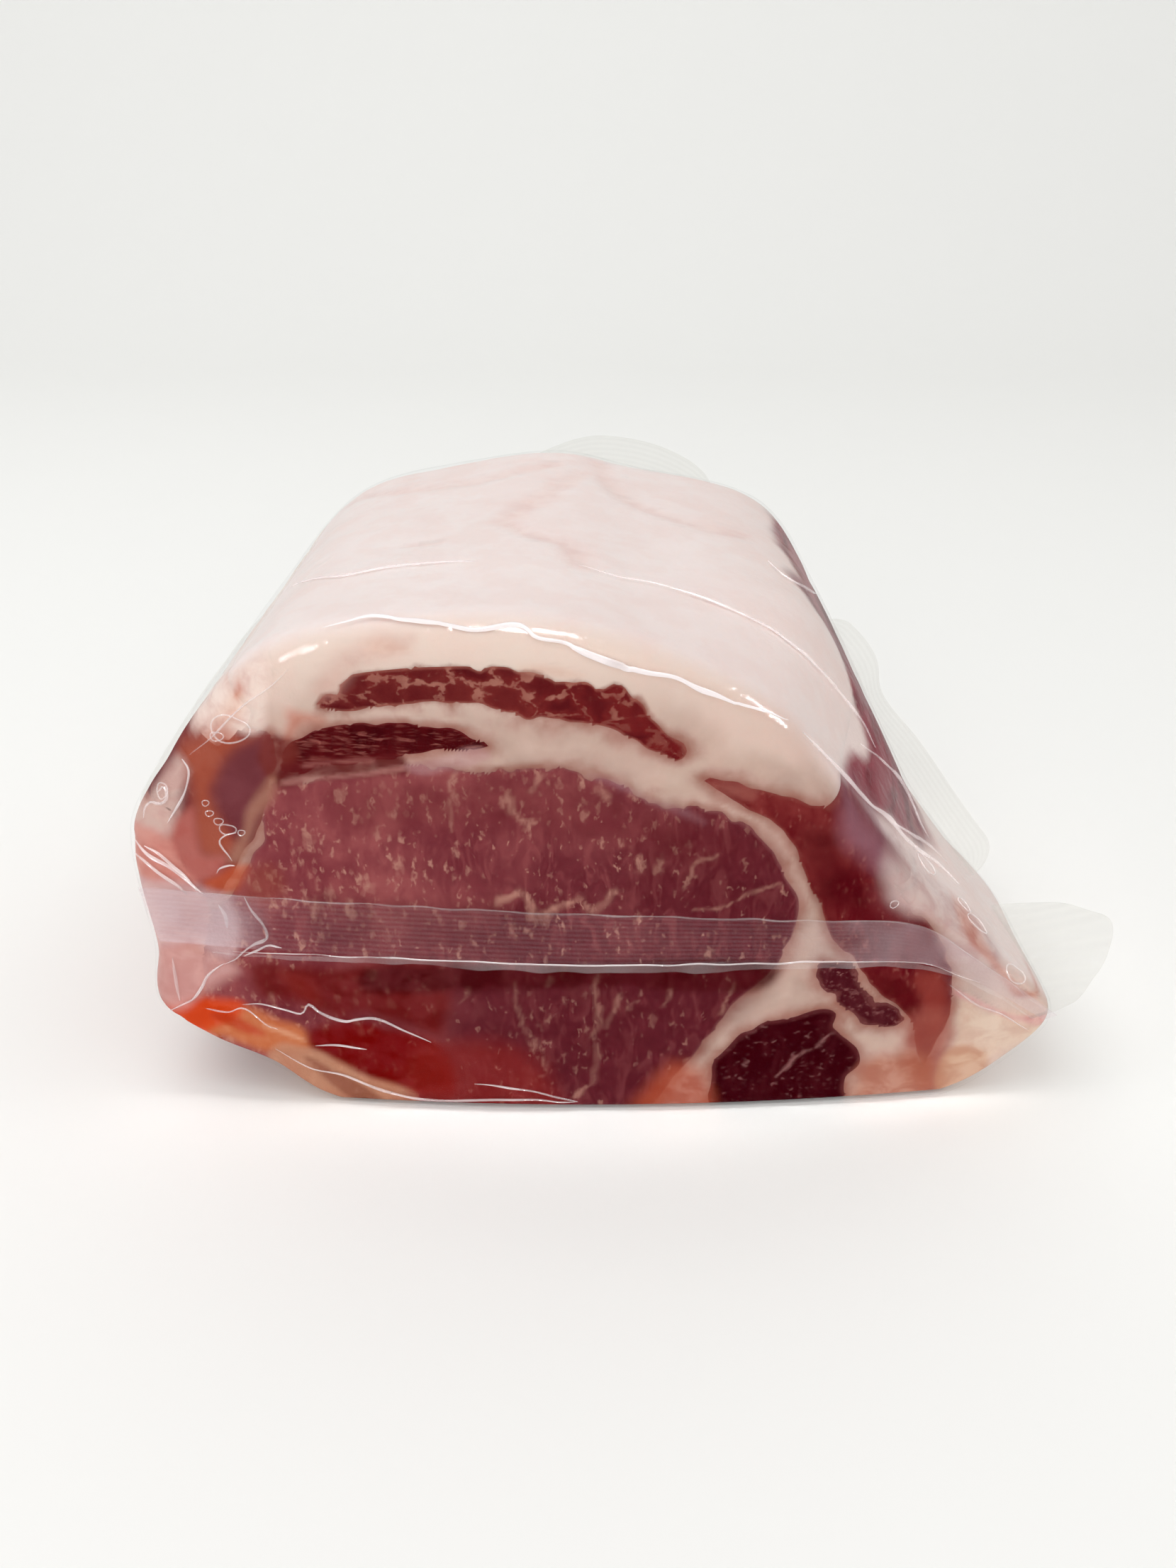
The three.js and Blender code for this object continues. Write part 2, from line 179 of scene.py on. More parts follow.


# Juice stains, painted shade and painted sheen of the film on the cut face, each over the ones before it
STAINS_SHADE_AND_SHEEN: tuple[Stain, ...] = (
    # round the left end
    Stain((232, 212, 202), 0.95, 1.2, ((-62, 88), (-70, 79), (-69.5, 77.5), (-64.5, 80), (-61, 79),
        (-57.5, 78.5), (-55, 84.5), (-55, 92))),
    Stain((168, 88, 66), 0.92, 2.2, ((-69, 77), (-64, 80), (-60, 77.5), (-55.5, 78), (-60, 76.5),
        (-64, 71.5), (-66.5, 67), (-65.5, 61.5), (-63.5, 56.5), (-65.5, 53.5), (-70, 54.5), (-71, 61),
        (-70.5, 66.5), (-71, 71), (-72.5, 74))),
    Stain((190, 112, 102), 0.85, 1.4, ((-75, 60.5), (-71, 63.5), (-70, 54.5), (-65.5, 53.5), (-68, 50),
        (-72.5, 48), (-74.5, 51.5), (-76.5, 56))),
    Stain((222, 196, 186), 0.85, 1.4, ((-86, 62), (-81.5, 62.5), (-77.5, 67), (-72.5, 73), (-71, 72),
        (-73.5, 63.5), (-76.5, 57), (-86, 55))),
    Stain((214, 150, 138), 0.85, 1.2, ((-86, 57.5), (-76.5, 57), (-74.5, 51.5), (-72, 47), (-86, 44.5),
        (-86, 51))),
    Stain((114, 58, 64), 0.85, 2.0, ((-59.5, 76.5), (-55.5, 78), (-52.5, 78.5), (-54, 72), (-56.5, 69),
        (-59, 64), (-63, 57), (-64.5, 60.5), (-66.5, 67), (-65, 71.5), (-62.5, 75))),
    Stain((116, 46, 40), 0.85, 0.9, ((-57, 77.2), (-52.6, 78.4), (-50.6, 76.8), (-51.2, 73), (-53.5, 69.4),
        (-56.2, 69.6))),
    Stain((172, 124, 104), 0.75, 1.1, ((-54.7, 70.4), (-56.8, 65), (-59.8, 60.6), (-63, 53.3), (-65.1, 53),
        (-61.9, 60.4), (-60.2, 64.5), (-56.5, 69.7))),
    Stain((196, 92, 56), 0.8, 1.0, ((-70.8, 48), (-67.8, 50.1), (-64.4, 52.2), (-61.7, 52.4), (-63.2, 48.7),
        (-65.6, 46.1), (-70, 45.8))),
    Stain((140, 66, 52), 0.55, 1.8, ((-62.5, 50.5), (-58, 53), (-55, 49), (-56.5, 46), (-63, 45.5))),
    Stain((184, 92, 66), 0.65, 1.5, ((-51, 83.5), (-48, 83), (-45, 82), (-48, 81), (-50.5, 79.5),
        (-52.5, 78.5), (-52, 81))),
    Stain((216, 170, 148), 0.6, 1.6, ((-61.5, 85.5), (-59.5, 85.5), (-59.5, 82), (-61.5, 80.5), (-65, 80),
        (-63.5, 83))),
    Stain((198, 100, 62), 0.7, 0.6, ((-59.9, 87.8), (-59.2, 87.7), (-59.6, 86.2), (-60.4, 85.1), (-61, 85.2),
        (-60.5, 86.6))),
    # between the inner muscle, the eye and the fat
    Stain((98, 27, 30), 0.9, 0.8, ((-54.3, 72), (-47.8, 74), (-39.4, 75), (-32.5, 75.6), (-31.3, 72.8),
        (-39.6, 71.2), (-48, 70), (-54.6, 68.4))),
    Stain((178, 128, 120), 0.65, 0.4, ((-54, 69.7), (-47, 71), (-40, 72.1), (-32, 73.7), (-31.5, 73),
        (-40, 71.2), (-47, 70.1), (-54, 68.8))),
    Stain((164, 104, 98), 0.55, 0.35, ((-50, 73.1), (-44, 74.1), (-37, 74.9), (-37, 74.3), (-44, 73.5),
        (-50, 72.5))),
    # a painted sheen of the film, pale lilac, over the inner muscle's right end
    Stain((196, 160, 162), 0.45, 0.8, ((-31.9, 73.8), (-25, 75.6), (-18.2, 77.3), (-16.9, 75.8), (-23.7, 73),
        (-29.9, 72.3))),
    # a painted sheen of the film along the eye's upper right edge
    Stain((168, 128, 136), 0.45, 0.9, ((0, 72.2), (5.4, 71.4), (10.9, 67.5), (17.9, 65.2), (20.7, 62.8),
        (13.7, 65.2), (6.8, 69.2))),
    # painted shade in the eye: below and under the front seal, along its top and at its right; then tones in
    # the side muscle
    Stain((82, 20, 30), 0.5, 4.5, ((-45, 30), (-10, 32), (20, 31), (33, 29), (24, 16), (9, 3), (-10, 6),
        (-25, 16), (-45, 21))),
    Stain((84, 18, 27), 0.4, 4.0, ((12, 60), (28, 57), (36, 48), (36, 38), (22, 42), (8, 48))),
    Stain((100, 32, 38), 0.45, 3.5, ((-46, 68), (-24, 72), (-6, 72.5), (10, 66), (26, 62), (34, 54),
        (20, 55), (0, 60), (-20, 62), (-44, 62))),
    Stain((88, 30, 36), 0.5, 3.0, ((-50, 46), (-30, 46), (-8, 45), (-8, 37), (-30, 37), (-50, 37))),
    Stain((164, 100, 90), 0.6, 0.9, ((21.5, 70.5), (25.2, 70.4), (29.5, 68.4), (28.9, 66.9), (23.9, 68.6))),
    Stain((152, 66, 56), 0.7, 1.8, ((62, 28.5), (67, 28.5), (69, 20.5), (67, 15.5), (64.5, 20))),
    Stain((80, 5, 10), 0.65, 1.4, ((53, 29.5), (59.5, 28), (63, 23.5), (62, 20), (56.5, 24.5))),
    # on the right, where the film stands off; the lilac one is a painted sheen of the film
    Stain((72, 0, 9), 0.75, 2.6, ((38, 60), (44, 60), (46.5, 54), (51, 46.5), (50, 43.5), (43.5, 45),
        (41, 51.5))),
    Stain((150, 106, 118), 0.8, 2.6, ((46, 67.5), (50.5, 62.5), (57.5, 54), (61.5, 50.5), (57.5, 51),
        (53.5, 51), (49, 55), (45, 61))),
    Stain((208, 186, 181), 0.95, 2.4, ((57, 53), (66.5, 46), (80, 34), (78, 28), (68, 33), (64.5, 40),
        (57.5, 43), (54, 50), (54, 54))),
    # juice at the lower left
    Stain((104, 18, 16), 0.9, 2.0, ((-63.5, 30.5), (-50, 31), (-27.5, 32.5), (-28.5, 17), (-34.5, 19),
        (-43.5, 21), (-47.5, 19.5), (-54, 23), (-61.5, 23), (-64, 26))),
    Stain((128, 34, 24), 0.6, 1.8, ((-58, 29.5), (-53, 29), (-51, 21.5), (-54.5, 23.5))),
    # the bright orange here is partly painted light: light from the paper shining back through the thin juice
    Stain((212, 72, 26), 1.0, 1.4, ((-84, 19), (-76, 22), (-67, 22), (-66, 19), (-73.5, 14), (-82, 15))),
    Stain((206, 122, 76), 0.92, 1.4, ((-68, 18), (-66, 20.5), (-60, 18.5), (-54, 16), (-53, 13), (-61, 11),
        (-67, 12), (-73.5, 14.5))),
    Stain((190, 62, 28), 0.8, 0.9, ((-73.1, 18.6), (-69.2, 19), (-66.7, 17.7), (-62.5, 14.8), (-65.8, 14.6),
        (-70.2, 16.4))),
    Stain((228, 178, 142), 0.7, 0.6, ((-62.5, 17), (-58, 16), (-54.5, 14.2), (-57, 14.6), (-61, 15.8))),
    Stain((116, 3, 1), 0.97, 1.6, ((-54, 16), (-47.5, 19), (-41, 18.5), (-28.5, 14.5), (-26, 3), (-37.5, 3),
        (-44.5, 6.5), (-53, 12))),
    Stain((196, 146, 116), 0.9, 1.0, ((-56, 13), (-48.1, 9.8), (-43.1, 6.2), (-34, 2.4), (-36, -6), (-60, 2),
        (-62, 11))),
    Stain((126, 66, 48), 0.7, 0.8, ((-55, 10.2), (-49, 7.4), (-44, 4.2), (-40, 0), (-44, -1), (-50, 4))),
    Stain((214, 170, 164), 0.85, 1.6, ((-86, 33), (-70, 32.5), (-66.5, 29), (-70, 26), (-74.5, 23),
        (-80, 19), (-86, 24))),
    Stain((214, 186, 186), 0.8, 1.4, ((-88, 46), (-66.5, 45), (-67, 31.5), (-69.5, 32), (-74.5, 34.5),
        (-88, 32))),
    # a painted shadow under the front seal's weld, and juice along the bottom
    Stain((68, 3, 7), 0.9, 1.2, ((-42.5, 30.5), (-27.5, 33), (-13, 33), (36, 32.5), (34.5, 28.5), (23.5, 27),
        (1.5, 28.5), (-28, 27), (-43, 26.5))),
    Stain((136, 34, 26), 0.6, 3.2, ((-33, 13), (-17, 15.5), (-9, 11), (-6, 4.5), (-3, -4.5), (-34.5, -6))),
    Stain((172, 80, 54), 0.85, 2.6, ((7, -4.5), (11, 5), (16.5, 11), (21.5, 9.5), (24, 2), (24, -4.5))),
    # at the lower right corner
    Stain((164, 88, 76), 0.75, 2.4, ((62, 20), (69, 20), (71, 8), (70, 0), (64, 2), (61, 12))),
    Stain((180, 112, 88), 0.85, 2.4, ((54, 8.5), (59, 11), (64, 10), (68, 7), (68, -3), (53, -3))),
    Stain((134, 70, 74), 0.4, 2.4, ((52, 48), (57, 44), (62, 38), (66, 32), (62, 33), (55, 40))),
    Stain((226, 203, 182), 0.8, 1.4, ((72, 22.5), (76.5, 19.5), (92, 14.5), (78, 7.5), (71, 6.5),
        (71.5, 15))),
    Stain((206, 160, 128), 0.75, 1.0, ((69.2, 1), (70.4, 11), (77.9, 9.4), (79, 5), (72.8, 1))),
    Stain((214, 160, 158), 0.8, 0.6, ((70.1, 24.4), (76.4, 21), (82.7, 17.4), (91, 15.9), (91, 14.2),
        (82.9, 16.1), (76.6, 19.7), (70.4, 23.3))),
    Stain((190, 122, 102), 0.75, 0.7, ((70.1, 38.5), (73.4, 36.6), (74.6, 34.6), (76.4, 32.4), (78.6, 29.4),
        (83.4, 23.4), (88.9, 21.3), (82.8, 21.6), (77.1, 28.6), (73.7, 33.2), (70.4, 37))),
    # faint warm streaks in the fat under the crown
    Stain((204, 160, 148), 0.5, 2.2, ((-46.5, 87), (-43, 92.5), (-37, 95.5), (-29, 96.5), (-30, 95),
        (-38, 92), (-44, 86.5))),
    Stain((224, 188, 166), 0.4, 0.9, ((-38, 95.5), (-33, 96.3), (-30, 95), (-35, 94.2))),
    Stain((224, 188, 166), 0.4, 0.9, ((-12, 92), (-5, 92.4), (-1, 91), (-8, 90.8))),
)


# Small tools


def ramp(value: Array, low: float | Array, high: float | Array) -> Array:
    """Rises smoothly from 0 at low to 1 at high."""
    share = np.clip((np.asarray(value, float) - low) / (high - low), 0.0, 1.0)
    return share * share * (3.0 - 2.0 * share)


def linear(level: float) -> float:
    """One channel of a picture's colour, 0 to 255, as linear light."""
    share = level / 255.0
    return share / 12.92 if share <= 0.04045 else ((share + 0.055) / 1.055) ** 2.4


def srgb(red: float, green: float, blue: float) -> Colour:
    """A picture's colour, 0 to 255 a channel, as Blender's linear colour."""
    return (linear(red), linear(green), linear(blue), 1.0)


def unit(rows: Array) -> Array:
    """Vectors brought to a length of 1."""
    return rows / np.maximum(np.linalg.norm(rows, axis=-1, keepdims=True), TINY)


def at_depth(flat: Array, y: float) -> Array:
    """Points (x, z) set at one depth, as (x, y, z)."""
    return np.stack([flat[:, 0], np.full(len(flat), y), flat[:, 1]], axis=1)


def ring_quads(rings: Array) -> Array:
    """The faces between closed rings of point numbers, as rings by places by corners."""
    after = np.roll(rings, -1, axis=1)
    return np.stack([after[:-1], rings[:-1], rings[1:], after[1:]], axis=2)


def as_faces(rows: Array) -> list[Face]:
    """Rows of point numbers as plain faces."""
    return [tuple(row) for row in rows.tolist()]


def smooth_curve(points: Points | Array, count: int, closed: bool) -> Array:
    """A smooth curve through points, evenly spaced along its length.

    Args:
        points: the points that it passes through.
        count: how many points to give back.
        closed: whether it runs back to its start.

    Returns:
        The points, one a row.
    """
    knots = np.asarray(points, float)
    if closed:
        padded = np.vstack([knots[-1:], knots, knots[:2]])
    else:
        padded = np.vstack([2 * knots[:1] - knots[1:2], knots, 2 * knots[-1:] - knots[-2:-1]])
    share = np.linspace(0.0, 1.0, CURVE_STEPS, endpoint=False)[:, None]
    runs = []
    for p0, p1, p2, p3 in zip(padded, padded[1:], padded[2:], padded[3:]):
        d0, d1, d2 = (max(np.linalg.norm(b - a), TINY) ** 0.5 for a, b in ((p0, p1), (p1, p2), (p2, p3)))
        leave = ((p1 - p0) / d0 - (p2 - p0) / (d0 + d1) + (p2 - p1) / d1) * d1
        arrive = ((p2 - p1) / d1 - (p3 - p1) / (d1 + d2) + (p3 - p2) / d2) * d1
        square = -3 * p1 + 3 * p2 - 2 * leave - arrive
        cube = 2 * p1 - 2 * p2 + leave + arrive
        runs.append(p1 + leave * share + square * share**2 + cube * share**3)
    fine = np.vstack(runs + [knots[:1] if closed else knots[-1:]])
    along = np.concatenate([[0.0], np.cumsum(np.linalg.norm(np.diff(fine, axis=0), axis=1))])
    wanted = np.linspace(0.0, along[-1], count + 1)[:-1] if closed else np.linspace(0.0, along[-1], count)
    return np.stack([np.interp(wanted, along, fine[:, axis]) for axis in range(fine.shape[1])], axis=1)


def to_steps(points: Array, start: Array, step: Array) -> tuple[Array, Array]:
    """Measures points against every step of a line.

    Args:
        points: the points, one a row.
        start: where each step starts.
        step: how far each step goes.

    Returns:
        The squared distances, and how far along each step the nearest place is.
    """
    rel = points[:, None, :] - start
    share = np.clip((rel * step).sum(2) / np.maximum((step**2).sum(1), TINY), 0.0, 1.0)
    return ((rel - share[..., None] * step) ** 2).sum(2), share


def signed_distance(points: Array, loop: Array) -> Array:
    """How far points in the plane lie from a closed loop.

    Args:
        points: the points, one a row.
        loop: the loop's points in order.

    Returns:
        The distances, negative inside the loop.
    """
    step = np.roll(loop, -1, axis=0) - loop
    rise = np.where(step[:, 1] == 0.0, TINY, step[:, 1])
    above = loop[:, 1] + step[:, 1]
    out = np.empty(len(points))
    for first in range(0, len(points), CHUNK):
        near = points[first : first + CHUNK]
        x, z = near[:, :1], near[:, 1:]
        passes = (loop[:, 1] > z) != (above > z)
        left = x < loop[:, 0] + (z - loop[:, 1]) * step[:, 0] / rise
        sign = np.where((passes & left).sum(1) % 2 == 1, -1.0, 1.0)
        out[first : first + CHUNK] = np.sqrt(to_steps(near, loop, step)[0].min(1)) * sign
    return out


def place_on_loop(points: Array, loop: Array) -> Array:
    """Where on a closed loop points are nearest, counted in the loop's own points."""
    gap, share = to_steps(points, loop, np.roll(loop, -1, axis=0) - loop)
    best = gap.argmin(1)
    return best + share[np.arange(len(points)), best]


def read_loop(loop: Array, place: Array) -> Array:
    """Points of a closed loop, at places counted in its own points."""
    below = np.floor(place).astype(int)
    share = (place - below)[:, None]
    return loop[below % len(loop)] * (1 - share) + loop[(below + 1) % len(loop)] * share


def distance_to_line(points: Array, line: Array) -> Array:
    """How far points lie from an open line."""
    return np.sqrt(to_steps(points, line[:-1], np.diff(line, axis=0))[0].min(1))


def smooth_noise(points: Array, wavelength: float, seed: int) -> Array:
    """Seeded noise that changes over about one wavelength.

    Args:
        points: where to read it.
        wavelength: its wavelength.
        seed: which of the noises to read.

    Returns:
        The levels, from -1 to 1.
    """
    cells = np.asarray(points, float) / wavelength
    base = np.floor(cells).astype(np.int64)
    part = cells - base
    part = part * part * (3 - 2 * part)
    factors = np.array([73856093, 19349663, 83492791], np.int64)[: cells.shape[1]]
    total = np.zeros(len(cells))
    for corner in np.ndindex(*(2,) * cells.shape[1]):
        mixed = ((base + np.array(corner)) * factors).sum(1) + seed * 2654435761
        mixed = (mixed ^ (mixed >> 15)) * 2246822519 & 0xFFFFFFFF
        mixed = (mixed ^ (mixed >> 13)) * 3266489917 & 0xFFFFFFFF
        level = (mixed ^ (mixed >> 16)) / 2147483648.0 - 1.0
        weight = np.where(np.array(corner) == 1, part, 1 - part).prod(1)
        total += weight * level
    return total


@dataclass(frozen=True)
class Waver:
    """Smooth seeded unevenness: its height, its wavelength in millimetres and its seed."""

    height: float
    wave: float
    seed: int

    def at(self, points: Array, turn: int = 0) -> Array:
        """Its level at points; each turn is another draw."""
        return self.height * smooth_noise(points, self.wave, self.seed + turn)

    def pair(self, points: Array) -> Array:
        """Two draws at points, as a shift in the plane."""
        return np.stack([self.at(points), self.at(points, 1)], axis=1)


def vertex_normals(points: Array, triangles: Array) -> Array:
    """Outward normals of a closed skin.

    Args:
        points: its points.
        triangles: its triangles, as rows of point numbers.

    Returns:
        A normal for each point.
    """
    a, b, c = (points[triangles[:, k]] for k in range(3))
    flat = np.cross(b - a, c - a)
    total = np.zeros_like(points)
    for corner in range(3):
        np.add.at(total, triangles[:, corner], flat)
    return unit(total)


@dataclass
class Skin:
    """The mesh of one piece: its points in millimetres in the cut face's frame, and its faces."""

    points: Array
    faces: list[Face]
    values: dict[str, Array]  # numbers for each point that its finish reads
    first_wall: int | None = None  # the face from which on every edge stays sharp
    sharp_deg: float = 50.0  # the angle from which any edge stays sharp

    def place(self, name: str, material: Material, slot: Slot, *nodes: str) -> None:
        """Makes the piece in the part's frame and lets it ride on the part.

        Args:
            name: the piece's name.
            material: its finish.
            slot: the record's material slot; not used.
            nodes: the CAD nodes that it replaces, if any.
        """
        mesh = bpy.data.meshes.new(name)
        mesh.from_pydata(((self.points + TO_PART) * MM).tolist(), [], self.faces)
        for key, numbers in self.values.items():
            flat = np.asarray(numbers, np.float32)
            kind, part = ("FLOAT", "value") if flat.ndim == 1 else ("FLOAT_COLOR", "color")
            mesh.attributes.new(key, kind, "POINT").data.foreach_set(part, flat.ravel())
        mesh.materials.append(material)
        mesh.shade_smooth()
        mesh.set_sharp_from_angle(angle=math.radians(self.sharp_deg))
        if self.first_wall is not None:
            edge_of = np.empty(len(mesh.loops), np.int32)
            mesh.loops.foreach_get("edge_index", edge_of)
            sharp = np.empty(len(mesh.edges), bool)
            mesh.edges.foreach_get("use_edge_sharp", sharp)
            sharp[edge_of[mesh.polygons[self.first_wall].loop_start :]] = True
            mesh.edges.foreach_set("use_edge_sharp", sharp)
        mesh.update()
        piece = bpy.data.objects.new(name, mesh)
        bpy.context.scene.collection.objects.link(piece)
        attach(piece, BODY)
        if nodes:
            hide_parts(*nodes)
        log.info("%s: %d faces", name, len(mesh.polygons))


# Finishes


class Wiring:
    """Places and joins the nodes of one tree."""

    def __init__(self, tree: Tree) -> None:
        """Starts from an empty tree."""
        self.tree = tree
        tree.nodes.clear()

    def feed(self, socket: Socket, value: Value) -> None:
        """Joins an input to another socket, or sets its own value.

        Args:
            socket: the input.
            value: the socket or the value.
        """
        if isinstance(value, Socket):
            self.tree.links.new(value, socket)
        else:
            socket.default_value = value

    def node(self, kind: str, inputs: Inputs | None = None, **settings: object) -> Node:
        """A new node.

        Args:
            kind: its type.
            inputs: what its inputs are fed with, by name or number.
            settings: its properties.

        Returns:
            The node.
        """
        made = self.tree.nodes.new(kind)
        for key, value in settings.items():
            setattr(made, key, value)
        for key, value in (inputs or {}).items():
            self.feed(made.inputs[key], value)
        return made

    def math(self, operation: str, *values: Value) -> Socket:
        """The result of one sum."""
        return self.node("ShaderNodeMath", dict(enumerate(values)), operation=operation).outputs[0]

    def span(self, value: Value, low: Value, high: Value, first: Value = 0.0, last: Value = 1.0) -> Socket:
        """A smooth step: first at low, last at high."""
        inputs = {"Value": value, "From Min": low, "From Max": high, "To Min": first, "To Max": last}
        return self.node("ShaderNodeMapRange", inputs, interpolation_type="SMOOTHSTEP").outputs["Result"]

    def blend(self, share: Value, first: Value, second: Value, mode: str = "MIX") -> Socket:
        """Two colours mixed, by the share of the second."""
        inputs = {MIX_SHARE: share, MIX_FIRST: first, MIX_SECOND: second}
        return self.node("ShaderNodeMix", inputs, data_type="RGBA", blend_type=mode).outputs[MIX_RESULT]

    def reading(self, name: str, part: str = "Fac") -> Socket:
        """What the piece's points carry under a name, as a number or a colour."""
        return self.node("ShaderNodeAttribute", attribute_name=name).outputs[part]

    def place(self) -> Socket:
        """The place on the piece in millimetres."""
        inputs = {0: self.node("ShaderNodeTexCoord").outputs["Object"], "Scale": 1.0 / MM}
        return self.node("ShaderNodeVectorMath", inputs, operation="SCALE").outputs[0]

    def axis(self, vector: Socket, letter: str) -> Socket:
        """One axis of a vector."""
        return self.node("ShaderNodeSeparateXYZ", {0: vector}).outputs[letter]

    def stretch(self, vector: Socket, *waves: Value) -> Socket:
        """A place divided by a wavelength along each axis."""
        sizes = self.node("ShaderNodeCombineXYZ", dict(enumerate(waves))).outputs[0]
        return self.node("ShaderNodeVectorMath", {0: vector, 1: sizes}, operation="DIVIDE").outputs[0]

    def noise(
        self, vector: Socket, scale: float = 1.0, detail: float = 4.0, rough: float = 0.55, bend: float = 0.0
    ) -> Socket:
        """Noise from 0 to 1."""
        inputs = {"Vector": vector, "Scale": scale, "Detail": detail, "Roughness": rough, "Distortion": bend}
        return self.node("ShaderNodeTexNoise", inputs).outputs["Fac"]

    def cells(self, vector: Socket, feature: str) -> Node:
        """Cells in the plane, one to a unit."""
        inputs = {"Vector": vector, "Scale": 1.0}
        return self.node("ShaderNodeTexVoronoi", inputs, voronoi_dimensions="2D", feature=feature)

    def draw(self, cell: Node) -> Socket:
        """A number from 0 to 1 for each cell."""
        return self.node("ShaderNodeSeparateColor", {0: cell.outputs["Color"]}).outputs[0]

    def grain_place(self, vector: Socket, across: Value, along: Value, shake: float) -> Socket:
        """A place on the cut face divided by two wavelengths, and stirred.

        Args:
            vector: the place.
            across: the wavelength across the cut face.
            along: the wavelength upward.
            shake: how far it is stirred, in wavelengths.

        Returns:
            The place as (x, z, 0).
        """
        x = self.math("DIVIDE", self.axis(vector, "X"), across)
        z = self.math("DIVIDE", self.axis(vector, "Z"), along)
        flat = self.node("ShaderNodeCombineXYZ", {0: x, 1: z}).outputs[0]
        stir = self.node("ShaderNodeTexNoise", {"Vector": flat, **GRAIN_STIR}, noise_dimensions="2D")
        inputs = {0: stir.outputs["Color"], 1: (shake, shake, 0.0), 2: flat}
        return self.node("ShaderNodeVectorMath", inputs, operation="MULTIPLY_ADD").outputs[0]


